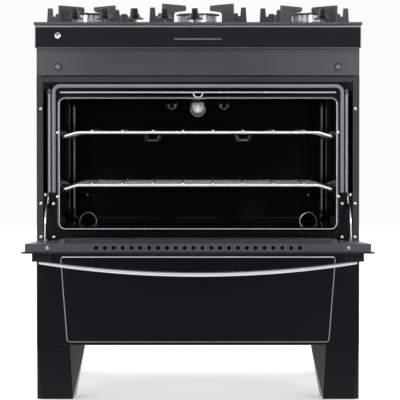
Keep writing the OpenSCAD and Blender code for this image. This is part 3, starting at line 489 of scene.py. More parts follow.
line_top, line_low = panel_high[2] - 10 * MM, panel_low[2] + 8 * MM
half_top, half_low, line_r = panel_high[0] - 57 * MM, panel_high[0] - 71 * MM, 7 * MM
outline = (arc_points(half_top - line_r, line_top - line_r, line_r, 0, 90)
           + arc_points(-half_top + line_r, line_top - line_r, line_r, 90, 180)
           + arc_points(-half_low + line_r, line_low + line_r, line_r, 180, 270)
           + arc_points(half_low - line_r, line_low + line_r, line_r, 270, 360))
# Painted highlight: the raised line is coloured light grey for the light its bevels catch.
ridge_painted_highlight = finish("ridge_painted_highlight", (0.2, 0.2, 0.215), (0.27, 0.27, 0.29), 0.3, 0.06, metal=0.4)
add_piece("lower_panel_line", tube([(x, panel_front, z) for x, z in outline], 1.1 * MM, 8, True, 0.5),
          ridge_painted_highlight, "range_body", "black_enamel")
# Painted highlight: the line's top run is coloured near white for the light falling on it from above.
ridge_top_painted_highlight = finish("ridge_top_painted_highlight", (0.72, 0.72, 0.75), (0.84, 0.84, 0.87), 0.3, 0.06, metal=0.3)
top_ends = [(x, panel_front, line_top) for x in (-half_top + 2 * MM, half_top - 2 * MM)]
add_piece("lower_panel_line_top", tube(top_ends, 1.25 * MM, 8, False, 0.5), ridge_top_painted_highlight, "range_body",
          "black_enamel")

# ---- Legs ----
# Four hollow moulded legs in black plastic with a fine spark-eroded grain. Each has a flat face,
# a facet that slants back on its inner side and a thin bevel that widens downwards.
leg_plastic = finish("leg_plastic", (0.0012, 0.0011, 0.002), (0.0022, 0.002, 0.0036), 0.3, 0.05,
                     grain=1500.0, depth=0.12, reach=0.0002, gleam=0.2)
for part in ("leg_front_left", "leg_front_right", "leg_rear_left", "leg_rear_right"):
    rounded_node(part, 1.3 * MM, leg_plastic, 3, 6)

# ---- Oven liner ----
# A deep-drawn box in glossy black vitreous enamel: rounded corners, pressed guides for the racks and
# bumps on the back wall. Bright tubes on the bumps' edges and round its mouth are painted highlights.
cavity_enamel = finish("cavity_enamel", (0.0006, 0.0006, 0.001), (0.0012, 0.0012, 0.002), 0.12, 0.04,
                       patch=5.0, grain=160.0, depth=0.05, gleam=0.35)
liner_low, liner_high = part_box("oven_cavity")
liner_front = liner_low[1]
mouth_x = liner_high[0] - 5 * MM
mouth_top = liner_high[2] - 5 * MM
floor_low, floor_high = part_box("oven_floor")
mouth_low = floor_low[2] + 2 * MM
wall_x = mouth_x - 2 * MM
roof_z = mouth_top + 2 * MM
base_z = mouth_low - 2 * MM
back_y = liner_high[1] - 1.5 * MM
corner_r = 13 * MM


def ring_points(x, z0, z1, r, y, steps=8):
    loop = (arc_points(x - r, z1 - r, r, 0, 90, steps)
            + arc_points(-x + r, z1 - r, r, 90, 180, steps)
            + arc_points(-x + r, z0 + r, r, 180, 270, steps)
            + arc_points(x - r, z0 + r, r, 270, 360, steps))
    return [(px, y, pz) for px, pz in loop]


def lofted(rings, cap_end=True):
    """A skin through rings that all have the same number of points."""
    bm = bmesh.new()
    made = [[bm.verts.new(p) for p in ring] for ring in rings]
    count = len(made[0])
    for low, high in zip(made, made[1:]):
        for i in range(count):
            j = (i + 1) % count
            bm.faces.new((low[i], low[j], high[j], high[i]))
    if cap_end:
        bm.faces.new(made[-1])
    return shaded(bm, "skin", 50)


def grown(d, y):
    return ring_points(mouth_x + d, mouth_low - d, mouth_top + d, corner_r + d, y)


fillet = 12 * MM
rings = [grown(5 * MM, liner_front + 1.2 * MM), grown(5 * MM, liner_front + 0.5 * MM),
         grown(4.4 * MM, liner_front), grown(1.4 * MM, liner_front),
         grown(0.3 * MM, liner_front + 0.5 * MM), grown(0, liner_front + 1.5 * MM),
         grown(0, liner_front + 2.4 * MM),
         ring_points(wall_x, base_z, roof_z, corner_r + 2 * MM, liner_front + 2.8 * MM)]
for step in range(7):
    a = math.pi / 2 * step / 6
    pull = fillet * (1 - math.cos(a))
    rings.append(ring_points(wall_x - pull, base_z + pull, roof_z - pull, corner_r + 2 * MM,
                             back_y - fillet + fillet * math.sin(a)))
rings.append([(x, back_y + 1.5 * MM, z) for x, far, z in rings[-1]])
add_piece("oven_liner", lofted(rings), cavity_enamel, "range_body", "black_enamel", "oven_cavity")

# Painted highlights: bright tubes over the pressed bead, its clip and the mouth's rim stand in for light
# caught on the enamel edges.
painted_edge_highlight = finish("painted_edge_highlight", (0.55, 0.55, 0.58), (0.72, 0.72, 0.76), 0.22, 0.06, metal=0.4,
                     patch=30.0)
bead_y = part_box("oven_front_frame")[1][1] - 1.9 * MM
bead_z = mouth_top + 14 * MM
bead = tube([(x, bead_y, bead_z) for x in (-mouth_x + 2 * MM, 0, mouth_x - 2 * MM)], 1.9 * MM)
clip_arc = arc_points(0, bead_z - 1 * MM, 11 * MM, 180, 360, 16)
clip = tube([(x, bead_y - 2.6 * MM, z) for x, z in clip_arc], 1.5 * MM)
add_piece("frame_bead_highlight", joined([(bead, STAY), (clip, STAY)]), painted_edge_highlight,
          "range_body", "frame_enamel")
rim_path = grown(0.7 * MM, liner_front + 1.15 * MM)
add_piece("mouth_rim_highlight", tube(rim_path, 1.15 * MM, 10, True), painted_edge_highlight, "range_body", "black_enamel")


def pressed_wall(x0, x1, z0, z1, height, nx=190, nz=90):
    """A wall with pressed bumps: a fine grid pushed out by height(x, z)."""
    bm = bmesh.new()
    grid = []
    for j in range(nz + 1):
        z = z0 + (z1 - z0) * j / nz
        row = []
        for i in range(nx + 1):
            x = x0 + (x1 - x0) * i / nx
            row.append(bm.verts.new((x, back_y - height(x, z), z)))
        grid.append(row)
    for j in range(nz):
        for i in range(nx):
            bm.faces.new((grid[j][i], grid[j][i + 1], grid[j + 1][i + 1], grid[j + 1][i]))
    return shaded(bm, "pressed_wall", 60)


def ease(t):
    t = min(1.0, max(0.0, t))
    return t * t * (3 - 2 * t)


def dome(x, z, cx, cz, r, h, lip=0.35):
    away = math.hypot(x - cx, z - cz) / r
    return h * ease((1 - away) / lip)


def trapezoid(x, z, cx, cz, half, tall, h):
    across = half - (cz - z) * 0.25 - abs(x - cx)
    up = tall / 2 - abs(z - cz)
    return h * ease(across / (4 * MM)) * ease(up / (4 * MM))


def back_relief(x, z):
    side = abs(x)
    relief = dome(side, z, 67 * MM, roof_z - 14 * MM, 11 * MM, 4 * MM)
    relief = max(relief, trapezoid(side, z, 116 * MM, roof_z - 98 * MM, 18 * MM, 18 * MM, 4 * MM))
    relief = max(relief, trapezoid(side, z, 305 * MM, base_z + 67 * MM, 22 * MM, 9 * MM, 6 * MM))
    swell = 2 * MM * ease((side - 20 * MM) / (60 * MM)) * ease((190 * MM - side) / (120 * MM))
    relief = max(relief, swell * ease((base_z + 75 * MM - z) / (40 * MM)))
    return relief


back_wall = pressed_wall(-wall_x + 13 * MM, wall_x - 13 * MM, base_z + 10 * MM, roof_z - 3 * MM,
                         lambda x, z: 1 * MM + back_relief(x, z))
add_piece("oven_back_pressing", back_wall, cavity_enamel, "range_body", "black_enamel")

# Painted highlights: bright tubes trace the bumps, the vent and its ribs and the floor domes where the
# enamel edges catch light.
edges = []
vent_y = back_y - 4.6 * MM
foot_x = wall_x - 47 * MM
for s in (-1, 1):
    dome_highlight_arc = arc_points(s * 67 * MM, roof_z - 15 * MM, 9 * MM, 160, 380, 14)
    edges.append((tube([(x, back_y - 3.4 * MM, z) for x, z in dome_highlight_arc], 0.9 * MM, 8), STAY))
    vent_x, vent_z = s * 116 * MM, roof_z - 98 * MM
    vent = ((-16, 7), (-14.5, -1), (-12.5, -7), (12.5, -7), (14.5, -1), (16, 7))
    edges.append((tube([(vent_x + dx * MM, vent_y, vent_z + dz * MM) for dx, dz in vent], 0.7 * MM, 8),
                  STAY))
    for dx in (-8, -4, 0, 4, 8):
        rib = [(vent_x + dx * MM, vent_y, vent_z + dz * MM) for dz in (-7, -2)]
        edges.append((tube(rib, 0.5 * MM, 6), STAY))
    arch_x, arch_y, arch_z = s * foot_x, back_y - 84 * MM, floor_high[2] - 26 * MM
    arch = ((-21, 3), (-19, 11), (-14, 18.5), (-6, 23.5), (1, 25), (9, 23.5), (15, 18.5), (20, 11),
            (22, 4), (18, -1))
    edges.append((tube([(arch_x + dx * MM, arch_y + abs(dx) * 0.3 * MM, arch_z + dz * MM)
                        for dx, dz in arch], 0.95 * MM, 8), STAY))
add_piece("painted_highlight_edges", joined(edges), painted_edge_highlight, "range_body", "black_enamel")

rack_boxes = {name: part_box(name) for name in ("rack_upper", "rack_lower")}
guides = []
for low, high in rack_boxes.values():
    for s in (-1, 1):
        x0, x1 = sorted((s * (wall_x - 15 * MM), s * (wall_x + 1 * MM)))
        guides.append((block((x0, liner_front + 22 * MM, low[2] - 4.4 * MM),
                             (x1, back_y - 10 * MM, low[2] - 0.4 * MM), 1.8 * MM, 4), STAY))
add_piece("rack_guides", joined(guides), cavity_enamel, "range_body", "black_enamel")

# ---- Oven floor ----
# A loose enamelled plate over the burner, with a shallow pressed pan, raised arcs and dots that
# stiffen it, and two domes near its rear corners.
floor_x, floor_y0, floor_y1 = floor_high[0], floor_low[1], floor_high[1]
floor_top = floor_low[2] + 6 * MM


def floor_relief(x, y):
    side = abs(x)
    depth = y - floor_y0
    relief = -2.0 * MM * ease((floor_x - side - 24 * MM) / (8 * MM)) * ease((depth - 26 * MM) / (8 * MM)) \
        * ease((floor_y1 - y - 22 * MM) / (8 * MM))
    for cy, spread in ((130 * MM, 76 * MM), (250 * MM, 66 * MM)):
        away = abs(math.hypot(side - spread, depth - cy) - 14 * MM)
        relief += 2.4 * MM * ease(1 - away / (4 * MM)) * (1 if depth > cy else 0)
    for cx, cy in ((134 * MM, 190 * MM), (0, 110 * MM), (60 * MM, 320 * MM)):
        relief += 2.4 * MM * ease(1.6 - math.hypot(side - cx, depth - cy) / (5 * MM))
    return relief


plate = bmesh.new()
nx, ny = 170, 120
top_rows, low_rows = [], []
for j in range(ny + 1):
    y = floor_y0 + (floor_y1 - floor_y0) * j / ny
    top_rows.append([])
    low_rows.append([])
    for i in range(nx + 1):
        x = -floor_x + 2 * floor_x * i / nx
        z = floor_top + floor_relief(x, y) - 0.6 * MM
        top_rows[-1].append(plate.verts.new((x, y, z)))
        low_rows[-1].append(plate.verts.new((x, y, z - 1.2 * MM)))
for j in range(ny):
    for i in range(nx):
        plate.faces.new((top_rows[j][i], top_rows[j][i + 1], top_rows[j + 1][i + 1], top_rows[j + 1][i]))
        plate.faces.new((low_rows[j][i], low_rows[j + 1][i], low_rows[j + 1][i + 1], low_rows[j][i + 1]))
for a, b in ((top_rows[0], low_rows[0]), (low_rows[-1], top_rows[-1])):
    for i in range(nx):
        plate.faces.new((a[i], b[i], b[i + 1], a[i + 1]))
for i in (0, nx):
    for j in range(ny):
        loop = (top_rows[j][i], top_rows[j + 1][i], low_rows[j + 1][i], low_rows[j][i])
        plate.faces.new(loop if i == 0 else tuple(reversed(loop)))
plate_mesh = shaded(plate, "oven_floor", 50)
foot = lathe([(0, 26 * MM), (9 * MM, 24.8 * MM), (15 * MM, 20 * MM), (19.5 * MM, 12 * MM),
              (21.5 * MM, 4 * MM), (23.5 * MM, 0.6 * MM), (25 * MM, -0.6 * MM), (0, -0.6 * MM)])
domes = [(plate_mesh, STAY)]
for s in (-1, 1):
    spot = (s * foot_x, back_y - 60 * MM, floor_top - 0.6 * MM)
    domes.append((foot, Matrix.Translation(spot)))
add_piece("oven_floor_plate", joined(domes), cavity_enamel, "range_body", "black_enamel", "oven_floor")

# ---- Oven insulation and burner, out of sight ----
# A jacket of mineral wool lies round the liner, and a loop of steel tube with a mixing tube is the
# oven's burner.
wool = finish("mineral_wool", (0.5, 0.46, 0.34), (0.62, 0.58, 0.46), 0.9, 0.05, patch=40.0, grain=400.0,
              depth=0.6, reach=0.002)
burner_steel = finish("burner_steel", (0.24, 0.24, 0.26), (0.36, 0.35, 0.36), 0.42, 0.1, metal=1.0,
                      patch=30.0)
rounded_node("oven_insulation", 2 * MM, wool)
rounded_node("oven_burner", 0.5 * MM, burner_steel)

# ---- Oven gasket ----
# A round braided glass-fibre cord, an upside-down U clipped to the plate above and beside the
# mouth. Its braid shows as a fine slanting weave.
gasket_low, gasket_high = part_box("oven_gasket")
gasket_r = (gasket_high[1] - gasket_low[1]) / 2
gasket_y = (gasket_high[1] + gasket_low[1]) / 2
run_x, run_z = gasket_high[0] - gasket_r, gasket_high[2] - gasket_r
bend = 15 * MM
gasket_path = ([(-run_x, gasket_low[2])] + [(-run_x, gasket_low[2] + 12 * MM * i) for i in range(1, 19)]
               + list(reversed(arc_points(-run_x + bend, run_z - bend, bend, 90, 180, 10)))
               + [(-run_x + bend + (2 * run_x - 2 * bend) * i / 40, run_z) for i in range(1, 40)]
               + list(reversed(arc_points(run_x - bend, run_z - bend, bend, 0, 90, 10)))
               + [(run_x, gasket_low[2] + 12 * MM * i) for i in range(18, -1, -1)])
gasket_braid = bpy.data.materials.new("gasket_braid")
gasket_braid.use_nodes = True
tree = gasket_braid.node_tree
shader = tree.nodes["Principled BSDF"]
shader.inputs["Roughness"].default_value = 0.75
place = tree.nodes.new("ShaderNodeTexCoord")
strands = []
for turn in (42, -42):
    spin = tree.nodes.new("ShaderNodeMapping")
    spin.inputs["Rotation"].default_value = (0, math.radians(turn), 0)
    wave = tree.nodes.new("ShaderNodeTexWave")
    wave.wave_type = "BANDS"
    wave.bands_direction = "X"
    wave.inputs["Scale"].default_value = 190.0
    wave.inputs["Distortion"].default_value = 0.4
    tree.links.new(place.outputs["Object"], spin.inputs["Vector"])
    tree.links.new(spin.outputs["Vector"], wave.inputs["Vector"])
    strands.append(wave)
weave = tree.nodes.new("ShaderNodeMath")
weave.operation = "MAXIMUM"
tree.links.new(strands[0].outputs["Fac"], weave.inputs[0])
tree.links.new(strands[1].outputs["Fac"], weave.inputs[1])
tint = tree.nodes.new("ShaderNodeMix")
tint.data_type = "RGBA"
tint.inputs["A"].default_value = (0.078, 0.075, 0.094, 1)
tint.inputs["B"].default_value = (0.21, 0.204, 0.235, 1)
tree.links.new(weave.outputs["Value"], tint.inputs["Factor"])
tree.links.new(tint.outputs["Result"], shader.inputs["Base Color"])
braid_bump = tree.nodes.new("ShaderNodeBump")
braid_bump.inputs["Strength"].default_value = 0.6
braid_bump.inputs["Distance"].default_value = 0.0006
tree.links.new(weave.outputs["Value"], braid_bump.inputs["Height"])
tree.links.new(braid_bump.outputs["Normal"], shader.inputs["Normal"])
add_piece("gasket_cord", tube([(x, gasket_y, z) for x, z in gasket_path], gasket_r, 16), gasket_braid,
          "range_body", "gasket_braid", "oven_gasket")

# ---- Oven lamp ----
# A pressed-glass cover with frosted upright flutes, screwed over a small bulb in a ceramic holder in
# the back wall. The lamp is off: the bulb and the flutes glow as painted light.
cover_low, cover_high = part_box("lamp_cover")
lamp_z = (cover_low[2] + cover_high[2]) / 2
lamp_r = (cover_high[0] - cover_low[0]) / 2
lamp_glass = bpy.data.materials.new("lamp_glass")
lamp_glass.use_nodes = True
glass_shader = lamp_glass.node_tree.nodes["Principled BSDF"]
glass_shader.inputs["Base Color"].default_value = (0.9, 0.93, 0.94, 1)
glass_shader.inputs["Transmission Weight"].default_value = 1.0
glass_shader.inputs["IOR"].default_value = 1.5
ripple = lamp_glass.node_tree.nodes.new("ShaderNodeTexNoise")
ripple.inputs["Scale"].default_value = 90.0
frost = lamp_glass.node_tree.nodes.new("ShaderNodeMapRange")
frost.inputs["To Min"].default_value = 0.04
frost.inputs["To Max"].default_value = 0.16
lamp_glass.node_tree.links.new(ripple.outputs["Fac"], frost.inputs["Value"])
lamp_glass.node_tree.links.new(frost.outputs["Result"], glass_shader.inputs["Roughness"])


def cup_rings(radius, deep, top, low, flute):
    """Half-oval sections from the flat top to the round lower end, with upright flutes."""
    rings = []
    for k in range(25):
        z = top + (low - top) * k / 24
        drop = min(1.0, max(0.0, (lamp_z - z) / (lamp_z - low)))
        share = max(0.02, math.sqrt(1 - drop * drop))
        ring = []
        for i in range(73):
            a = math.pi * i / 72
            wave = 1 - flute * (0.5 - 0.5 * math.cos(16 * a))
            ring.append((-radius * share * math.cos(a) * wave,
                         cover_high[1] - deep * share ** 0.6 * math.sin(a) ** 0.7 * wave, z))
        rings.append(ring)
    return rings


outer_cup = cup_rings(lamp_r, cover_high[1] - cover_low[1], cover_high[2], cover_low[2], 0.07)
inner_cup = cup_rings(lamp_r - 2.2 * MM, cover_high[1] - cover_low[1] - 2.2 * MM, cover_high[2] - 2.2 * MM,
                      cover_low[2] + 2.2 * MM, 0.0)
cup = bmesh.new()
walls = [[[cup.verts.new(p) for p in ring] for ring in shell] for shell in (outer_cup, inner_cup)]
for shell in walls:
    for high_ring, low_ring in zip(shell, shell[1:]):
        for i in range(72):
            cup.faces.new((high_ring[i], high_ring[i + 1], low_ring[i + 1], low_ring[i]))
for shell in walls:
    cup.faces.new(shell[0])
    cup.faces.new(shell[-1])
for outer_ring, next_outer, inner_ring, next_inner in zip(walls[0], walls[0][1:], walls[1], walls[1][1:]):
    for i in (0, 72):
        cup.faces.new((outer_ring[i], next_outer[i], next_inner[i], inner_ring[i]))
for end in (0, -1):
    cup.faces.new((walls[0][end][0], walls[1][end][0], walls[1][end][72], walls[0][end][72]))
bmesh.ops.recalc_face_normals(cup, faces=cup.faces)
cover = shaded(cup, "lamp_cup", 50)
add_piece("lamp_glass_cover", cover, lamp_glass, "range_body", "lamp_glass", "lamp_cover")
ceramic = finish("ceramic", (0.72, 0.70, 0.65), (0.78, 0.76, 0.71), 0.22, 0.05, patch=20.0)
bulb_painted_glow = finish("bulb", (0.9, 0.9, 0.88), (0.95, 0.95, 0.93), 0.3, 0.05)
flute_painted_glow = finish("flute_painted_glow", (0.8, 0.8, 0.82), (0.9, 0.9, 0.92), 0.2, 0.05)
# Painted light: the bulb and the flutes glow although the lamp is off, standing in for light caught in the
# glass.
for paint, glow in ((bulb_painted_glow, 0.7), (flute_painted_glow, 0.12)):
    painted_glow_shader = paint.node_tree.nodes["Principled BSDF"]
    painted_glow_shader.inputs["Emission Color"].default_value = (1, 1, 1, 1)
    painted_glow_shader.inputs["Emission Strength"].default_value = glow
flutes = []
for dx in (-12, -7.5, -3, 3, 7.5, 12):
    share = math.sqrt(1 - (dx * MM / lamp_r) ** 2)
    flute_y = cover_high[1] - (cover_high[1] - cover_low[1]) * share ** 0.7 + 0.9 * MM
    flutes.append((tube([(dx * MM, flute_y, lamp_z + (lamp_r - 3 * MM)), (dx * MM, flute_y, lamp_z)],
                        0.8 * MM, 8), STAY))
add_piece("lamp_flutes", joined(flutes), flute_painted_glow, "range_body", "lamp_glass")
rounded_node("lamp_socket", 0.6 * MM, ceramic)
rounded_node("lamp_bulb", 0.3 * MM, bulb_painted_glow)

# ---- Racks ----
# Chromed wire: one heavy wire forms the frame and is bent down at both ends to the runners that
# slide in the guides; lighter wires are welded across it, their ends turned over the front bar.
chrome_wire = finish("chrome_wire", (0.9, 0.9, 0.92), (0.96, 0.96, 0.97), 0.24, 0.06, metal=0.55,
                     patch=60.0, grain=900.0)


def soft_path(points, radius, steps=5):
    """A polyline with each inner corner turned into a small curve."""
    path = [Vector(points[0])]
    for a, b, c in zip(points, points[1:], points[2:]):
        a, b, c = Vector(a), Vector(b), Vector(c)
        cut = min(radius, (a - b).length / 2.2, (c - b).length / 2.2)
        p, q = b + (a - b).normalized() * cut, b + (c - b).normalized() * cut
        for k in range(steps + 1):
            t = k / steps
            path.append((1 - t) ** 2 * p + 2 * t * (1 - t) * b + t * t * q)
    path.append(Vector(points[-1]))
    return path


def rack_piece(node, body):
    low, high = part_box(node)
    heavy, light = 3 * MM, 2.2 * MM
    drop = low[2] + heavy
    flat = drop + 9 * MM
    runner = high[0] - heavy
    bend_x = runner - 30 * MM
    front, rear = low[1] + heavy, high[1] - heavy
    bars = []
    corners = []
    for y, order in ((front, (-1, 1)), (rear, (1, -1))):
        s0, s1 = order
        corners += [(s0 * runner, y, drop), (s0 * bend_x, y, flat),
                    (s1 * bend_x, y, flat), (s1 * runner, y, drop)]
    closed = [corners[-1]] + corners + corners[:2]
    loop = soft_path(closed, 7 * MM)[1:-8]
    bars.append(tube(loop, heavy, 12, True))
    middle = (front + rear) / 2
    bars.append(tube(soft_path([(-runner, middle, drop), (-bend_x, middle, flat), (bend_x, middle, flat),
                                (runner, middle, drop)], 7 * MM), heavy - 0.4 * MM, 10))
    count = 8
    for i in range(count):
        x = (i - (count - 1) / 2) * 2 * bend_x / count
        z = flat + heavy + light - 0.7 * MM
        wire = [(x, front - heavy - 0.6 * MM, flat + 0.5 * MM), (x, front - heavy + 0.4 * MM, z),
                (x, rear + 0.6 * MM, z)]
        bars.append(tube(soft_path(wire, 2.4 * MM), light, 10))
    add_piece(node + "_wirework", joined([(bar, STAY) for bar in bars]), chrome_wire, body,
              "chrome_wire", node)


rack_piece("rack_upper", "rack_upper_slide")
rack_piece("rack_lower", "rack_lower_slide")

# ---- Cooktop ----
# A pressed steel sheet in semi-gloss black, folded down all round and rolled at its edge, with
# holes for the burners, the spark plugs and the knobs' spindles.
cooktop_enamel = finish("cooktop_enamel", (0.042, 0.04, 0.05), (0.052, 0.049, 0.061), 0.4, 0.06, patch=3.0,
                        grain=250.0, depth=0.03)
rounded_node("cooktop", 0.9 * MM, cooktop_enamel, 3)

# ---- Burners ----
# Cast aluminium crowns with flame slots, pressed black enamelled caps and white ceramic spark
# plugs with a bright pin.
burner_aluminium = finish("burner_aluminium", (0.62, 0.63, 0.65), (0.74, 0.75, 0.77), 0.33, 0.08, metal=1.0,
                          patch=40.0, grain=700.0, depth=0.12)
cap_enamel = finish("cap_enamel", (0.010, 0.010, 0.012), (0.016, 0.016, 0.018), 0.26, 0.06, grain=300.0)
rounded_node("burner_crowns", 0.35 * MM, burner_aluminium)
rounded_node("burner_caps", 0.9 * MM, cap_enamel, 3)
rounded_node("spark_electrodes", 0.25 * MM, ceramic)

# ---- Grates ----
# Heavy enamelled iron: upright flag-shaped arms point at each burner, rails join their feet and
# two posts stand at the middle. The enamel is matt and slightly rough, thinner on the edges.
grate_iron = finish("grate_iron", (0.044, 0.041, 0.054), (0.064, 0.06, 0.077), 0.36, 0.08, grain=520.0,
                    depth=0.35, reach=0.0005)
for part in ("grate_left", "grate_centre", "grate_right"):
    rounded_node(part, 1.1 * MM, grate_iron, 3)

# ---- Knobs ----
# Moulded satin black knobs: a thin round skirt flares up into a bar grip with a fine white line
# on its front. Each pushes down on its spindle and turns with it.
knob_plastic = finish("knob_plastic", (0.004, 0.004, 0.006), (0.007, 0.007, 0.010), 0.26, 0.05,
                      grain=1600.0, depth=0.1, reach=0.0002)
white_print = finish("white_print", (0.75, 0.75, 0.75), (0.8, 0.8, 0.8), 0.4, 0.05)


def knob_mesh(x, y, z, r, h):
    skirt = lathe([(0, 0), (r - 0.6 * MM, 0), (r, 0.5 * MM), (r, 1.7 * MM), (r - 0.8 * MM, 2.4 * MM),
                   (r - 4 * MM, 3.6 * MM), (r - 7.5 * MM, 6.0 * MM), (r - 9.6 * MM, 9.5 * MM),
                   (r - 10.6 * MM, 13 * MM), (r - 11.2 * MM, 14 * MM), (0, 14 * MM)])
    bm = bmesh.new()
    bmesh.ops.create_cube(bm, size=1.0)
    for v in bm.verts:
        up = v.co[2] + 0.5
        half = (8.6 - 1.9 * up) * MM
        reach = r - (2.4 + 0.8 * up) * MM
        v.co = Vector((2 * v.co[0] * half, 2 * v.co[1] * reach, 4 * MM + up * (h - 4 * MM)))
    bmesh.ops.bevel(bm, geom=bm.edges[:], offset=1.7 * MM, segments=4, affect="EDGES", profile=0.5)
    grip = shaded(bm, "grip")
    return joined([(skirt, Matrix.Translation((x, y, z))), (grip, Matrix.Translation((x, y, z)))])


knobs = [(f"burner_knob_{i}", f"burner_{i}") for i in range(1, 6)] + [("oven_knob", "oven")]
for node, stem in knobs:
    low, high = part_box(node)
    x, y = (low[0] + high[0]) / 2, (low[1] + high[1]) / 2
    r, h = (high[0] - low[0]) / 2, high[2] - low[2]
    add_piece(node + "_moulding", knob_mesh(x, y, low[2], r, h), knob_plastic, stem + "_handwheel",
              "knob_plastic", node)
    mark = block((x - 0.5 * MM, y - r + 4 * MM, high[2] - 0.35 * MM),
                 (x + 0.5 * MM, y - r + 15 * MM, high[2]), 0.1 * MM, 1)
    add_piece(node + "_mark", mark, white_print, stem + "_handwheel", "knob_plastic")

# ---- Gas train, under the cooktop ----
# Brass valves on a steel manifold, aluminium tubes to the burners, and one brass thread at the
# rear for the supply hose.
brass = finish("brass", (0.55, 0.42, 0.18), (0.66, 0.52, 0.26), 0.28, 0.08, metal=1.0, patch=50.0)
pipe_steel = finish("pipe_steel", (0.36, 0.37, 0.39), (0.46, 0.47, 0.49), 0.34, 0.08, metal=1.0)
feed_metal = finish("feed_metal", (0.6, 0.61, 0.63), (0.7, 0.71, 0.73), 0.3, 0.06, metal=1.0)
for part in ("gas_valves", "gas_inlet"):
    rounded_node(part, 0.5 * MM, brass)
spindle_steel = finish("spindle_steel", (0.12, 0.12, 0.13), (0.18, 0.18, 0.19), 0.35, 0.06, metal=0.8)
for i in range(1, 6):
    rounded_node(f"burner_spindle_{i}", 0.4 * MM, spindle_steel)
rounded_node("oven_spindle", 0.4 * MM, spindle_steel)
rounded_node("gas_manifold", 0.4 * MM, pipe_steel)
rounded_node("feed_tubes", 0.2 * MM, feed_metal)

# ---- Door springs and links ----
# Zinc-plated coil springs hang in the side channels. Bright curved links join them to the open
# door, which pulls them down; in the range they shorten when the door is shut, but here each coil is a
# fixed mesh.
spring_steel = finish("spring_steel", (0.62, 0.63, 0.65), (0.74, 0.75, 0.77), 0.32, 0.06, metal=0.7,
                      patch=80.0)
spring_low, spring_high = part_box("door_springs")
spring_x = spring_high[0] - 4.5 * MM
spring_y = (spring_low[1] + spring_high[1]) / 2
coil_low, coil_high = spring_low[2] + 8 * MM, spring_high[2] - 12 * MM
wire, coil_r, pitch = 0.95 * MM, 3.5 * MM, 2.25 * MM
turns = int((coil_high - coil_low) / pitch)
for side, s in (("left", -1), ("right", 1)):
    path = [Vector((s * (spring_x + 3.5 * MM), spring_y, spring_low[2] + 1.2 * MM)),
            Vector((s * (spring_x + 3.5 * MM), spring_y, coil_low - 1 * MM))]
    for k in range(turns * 10 + 1):
        a = 2 * math.pi * k / 10
        path.append(Vector((s * (spring_x + coil_r * math.cos(a)), spring_y + coil_r * math.sin(a),
                            coil_low + (coil_high - coil_low) * k / (turns * 10))))
    path.append(Vector((s * (spring_x + 2 * MM), spring_y, coil_high + 3 * MM)))
    for a in (-1.2, -0.4, 0.4, 1.2, 2.0, 2.8, 3.6):
        path.append(Vector((s * (spring_x - 3 * MM * math.cos(a)), spring_y,
                            coil_high + 7.4 * MM + 3.2 * MM * math.sin(a))))
    coil = add_piece(f"door_spring_{side}", tube(path, wire, 6), spring_steel, "range_body", "spring_steel",
                     "door_springs")
    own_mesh(coil)
link_steel = finish("link_steel", (0.7, 0.7, 0.72), (0.8, 0.8, 0.82), 0.16, 0.05, metal=1.0, patch=40.0)
rounded_node("spring_links", 0.5 * MM, link_steel)
rounded_node("hinge_plates", 0.4 * MM, spring_steel)
rounded_node("hinge_brackets", 0.4 * MM, spring_steel)

# ---- Screws ----
# Small bright pan-head screws with a cross recess hold the posts and the plate round the mouth.
screw_bright = finish("screw_bright", (0.82, 0.82, 0.83), (0.9, 0.9, 0.91), 0.18, 0.04, metal=0.85)


def screw_head(r):
    head = lathe([(0, 0), (r, 0), (r, 0.5 * MM), (r * 0.9, 1.2 * MM), (r * 0.6, 1.8 * MM),
                  (0, 2.0 * MM)], 24)
    bars = [block((-x, -y, bottom), (x, y, 3 * MM), 0.02 * MM, 1)
            for x, y, bottom in ((r * 0.55, r * 0.13, 1.1 * MM), (r * 0.12, r * 0.55, 1.0 * MM))]
    cut = bpy.data.objects.new("recess", joined([(bar, STAY) for bar in bars]))
    body = bpy.data.objects.new("head", head)
    for o in (cut, body):
        bpy.context.scene.collection.objects.link(o)
    carve = body.modifiers.new("recess", "BOOLEAN")
    carve.object = cut
    carve.solver = "EXACT"
    carve.use_self = True
    mesh = bpy.data.meshes.new_from_object(body.evaluated_get(bpy.context.evaluated_depsgraph_get()))
    for o in (cut, body):
        bpy.data.objects.remove(o)
    shade(mesh, 40)
    return mesh


head = screw_head(3.6 * MM)
post_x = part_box("side_panel_right")[1][0] - 10 * MM
side_spots = [(post_x, 0, 283), (post_x, 0, 60), (post_x, 0, -19), (mouth_x + 4.2 * MM, 6.5, 227),
              (mouth_x + 4.2 * MM, 6.5, 76), (run_x + 1 * MM, 8, 59), (run_x + 1 * MM, 8, -20),
              (post_x - 9.5 * MM, 8, 80)]
heads = []
for k, (x, depth, up) in enumerate(side_spots):
    for s in (-1, 1):
        place = Matrix.Translation((s * x, FRONT + depth * MM, mouth_low + up * MM))
        heads.append((head, place @ TO_FRONT @ Matrix.Rotation(0.5 + k * 1.1 + s, 4, "Z")))
add_piece("frame_screw_heads", joined(heads), screw_bright, "range_body", "screw_steel", "frame_screws")

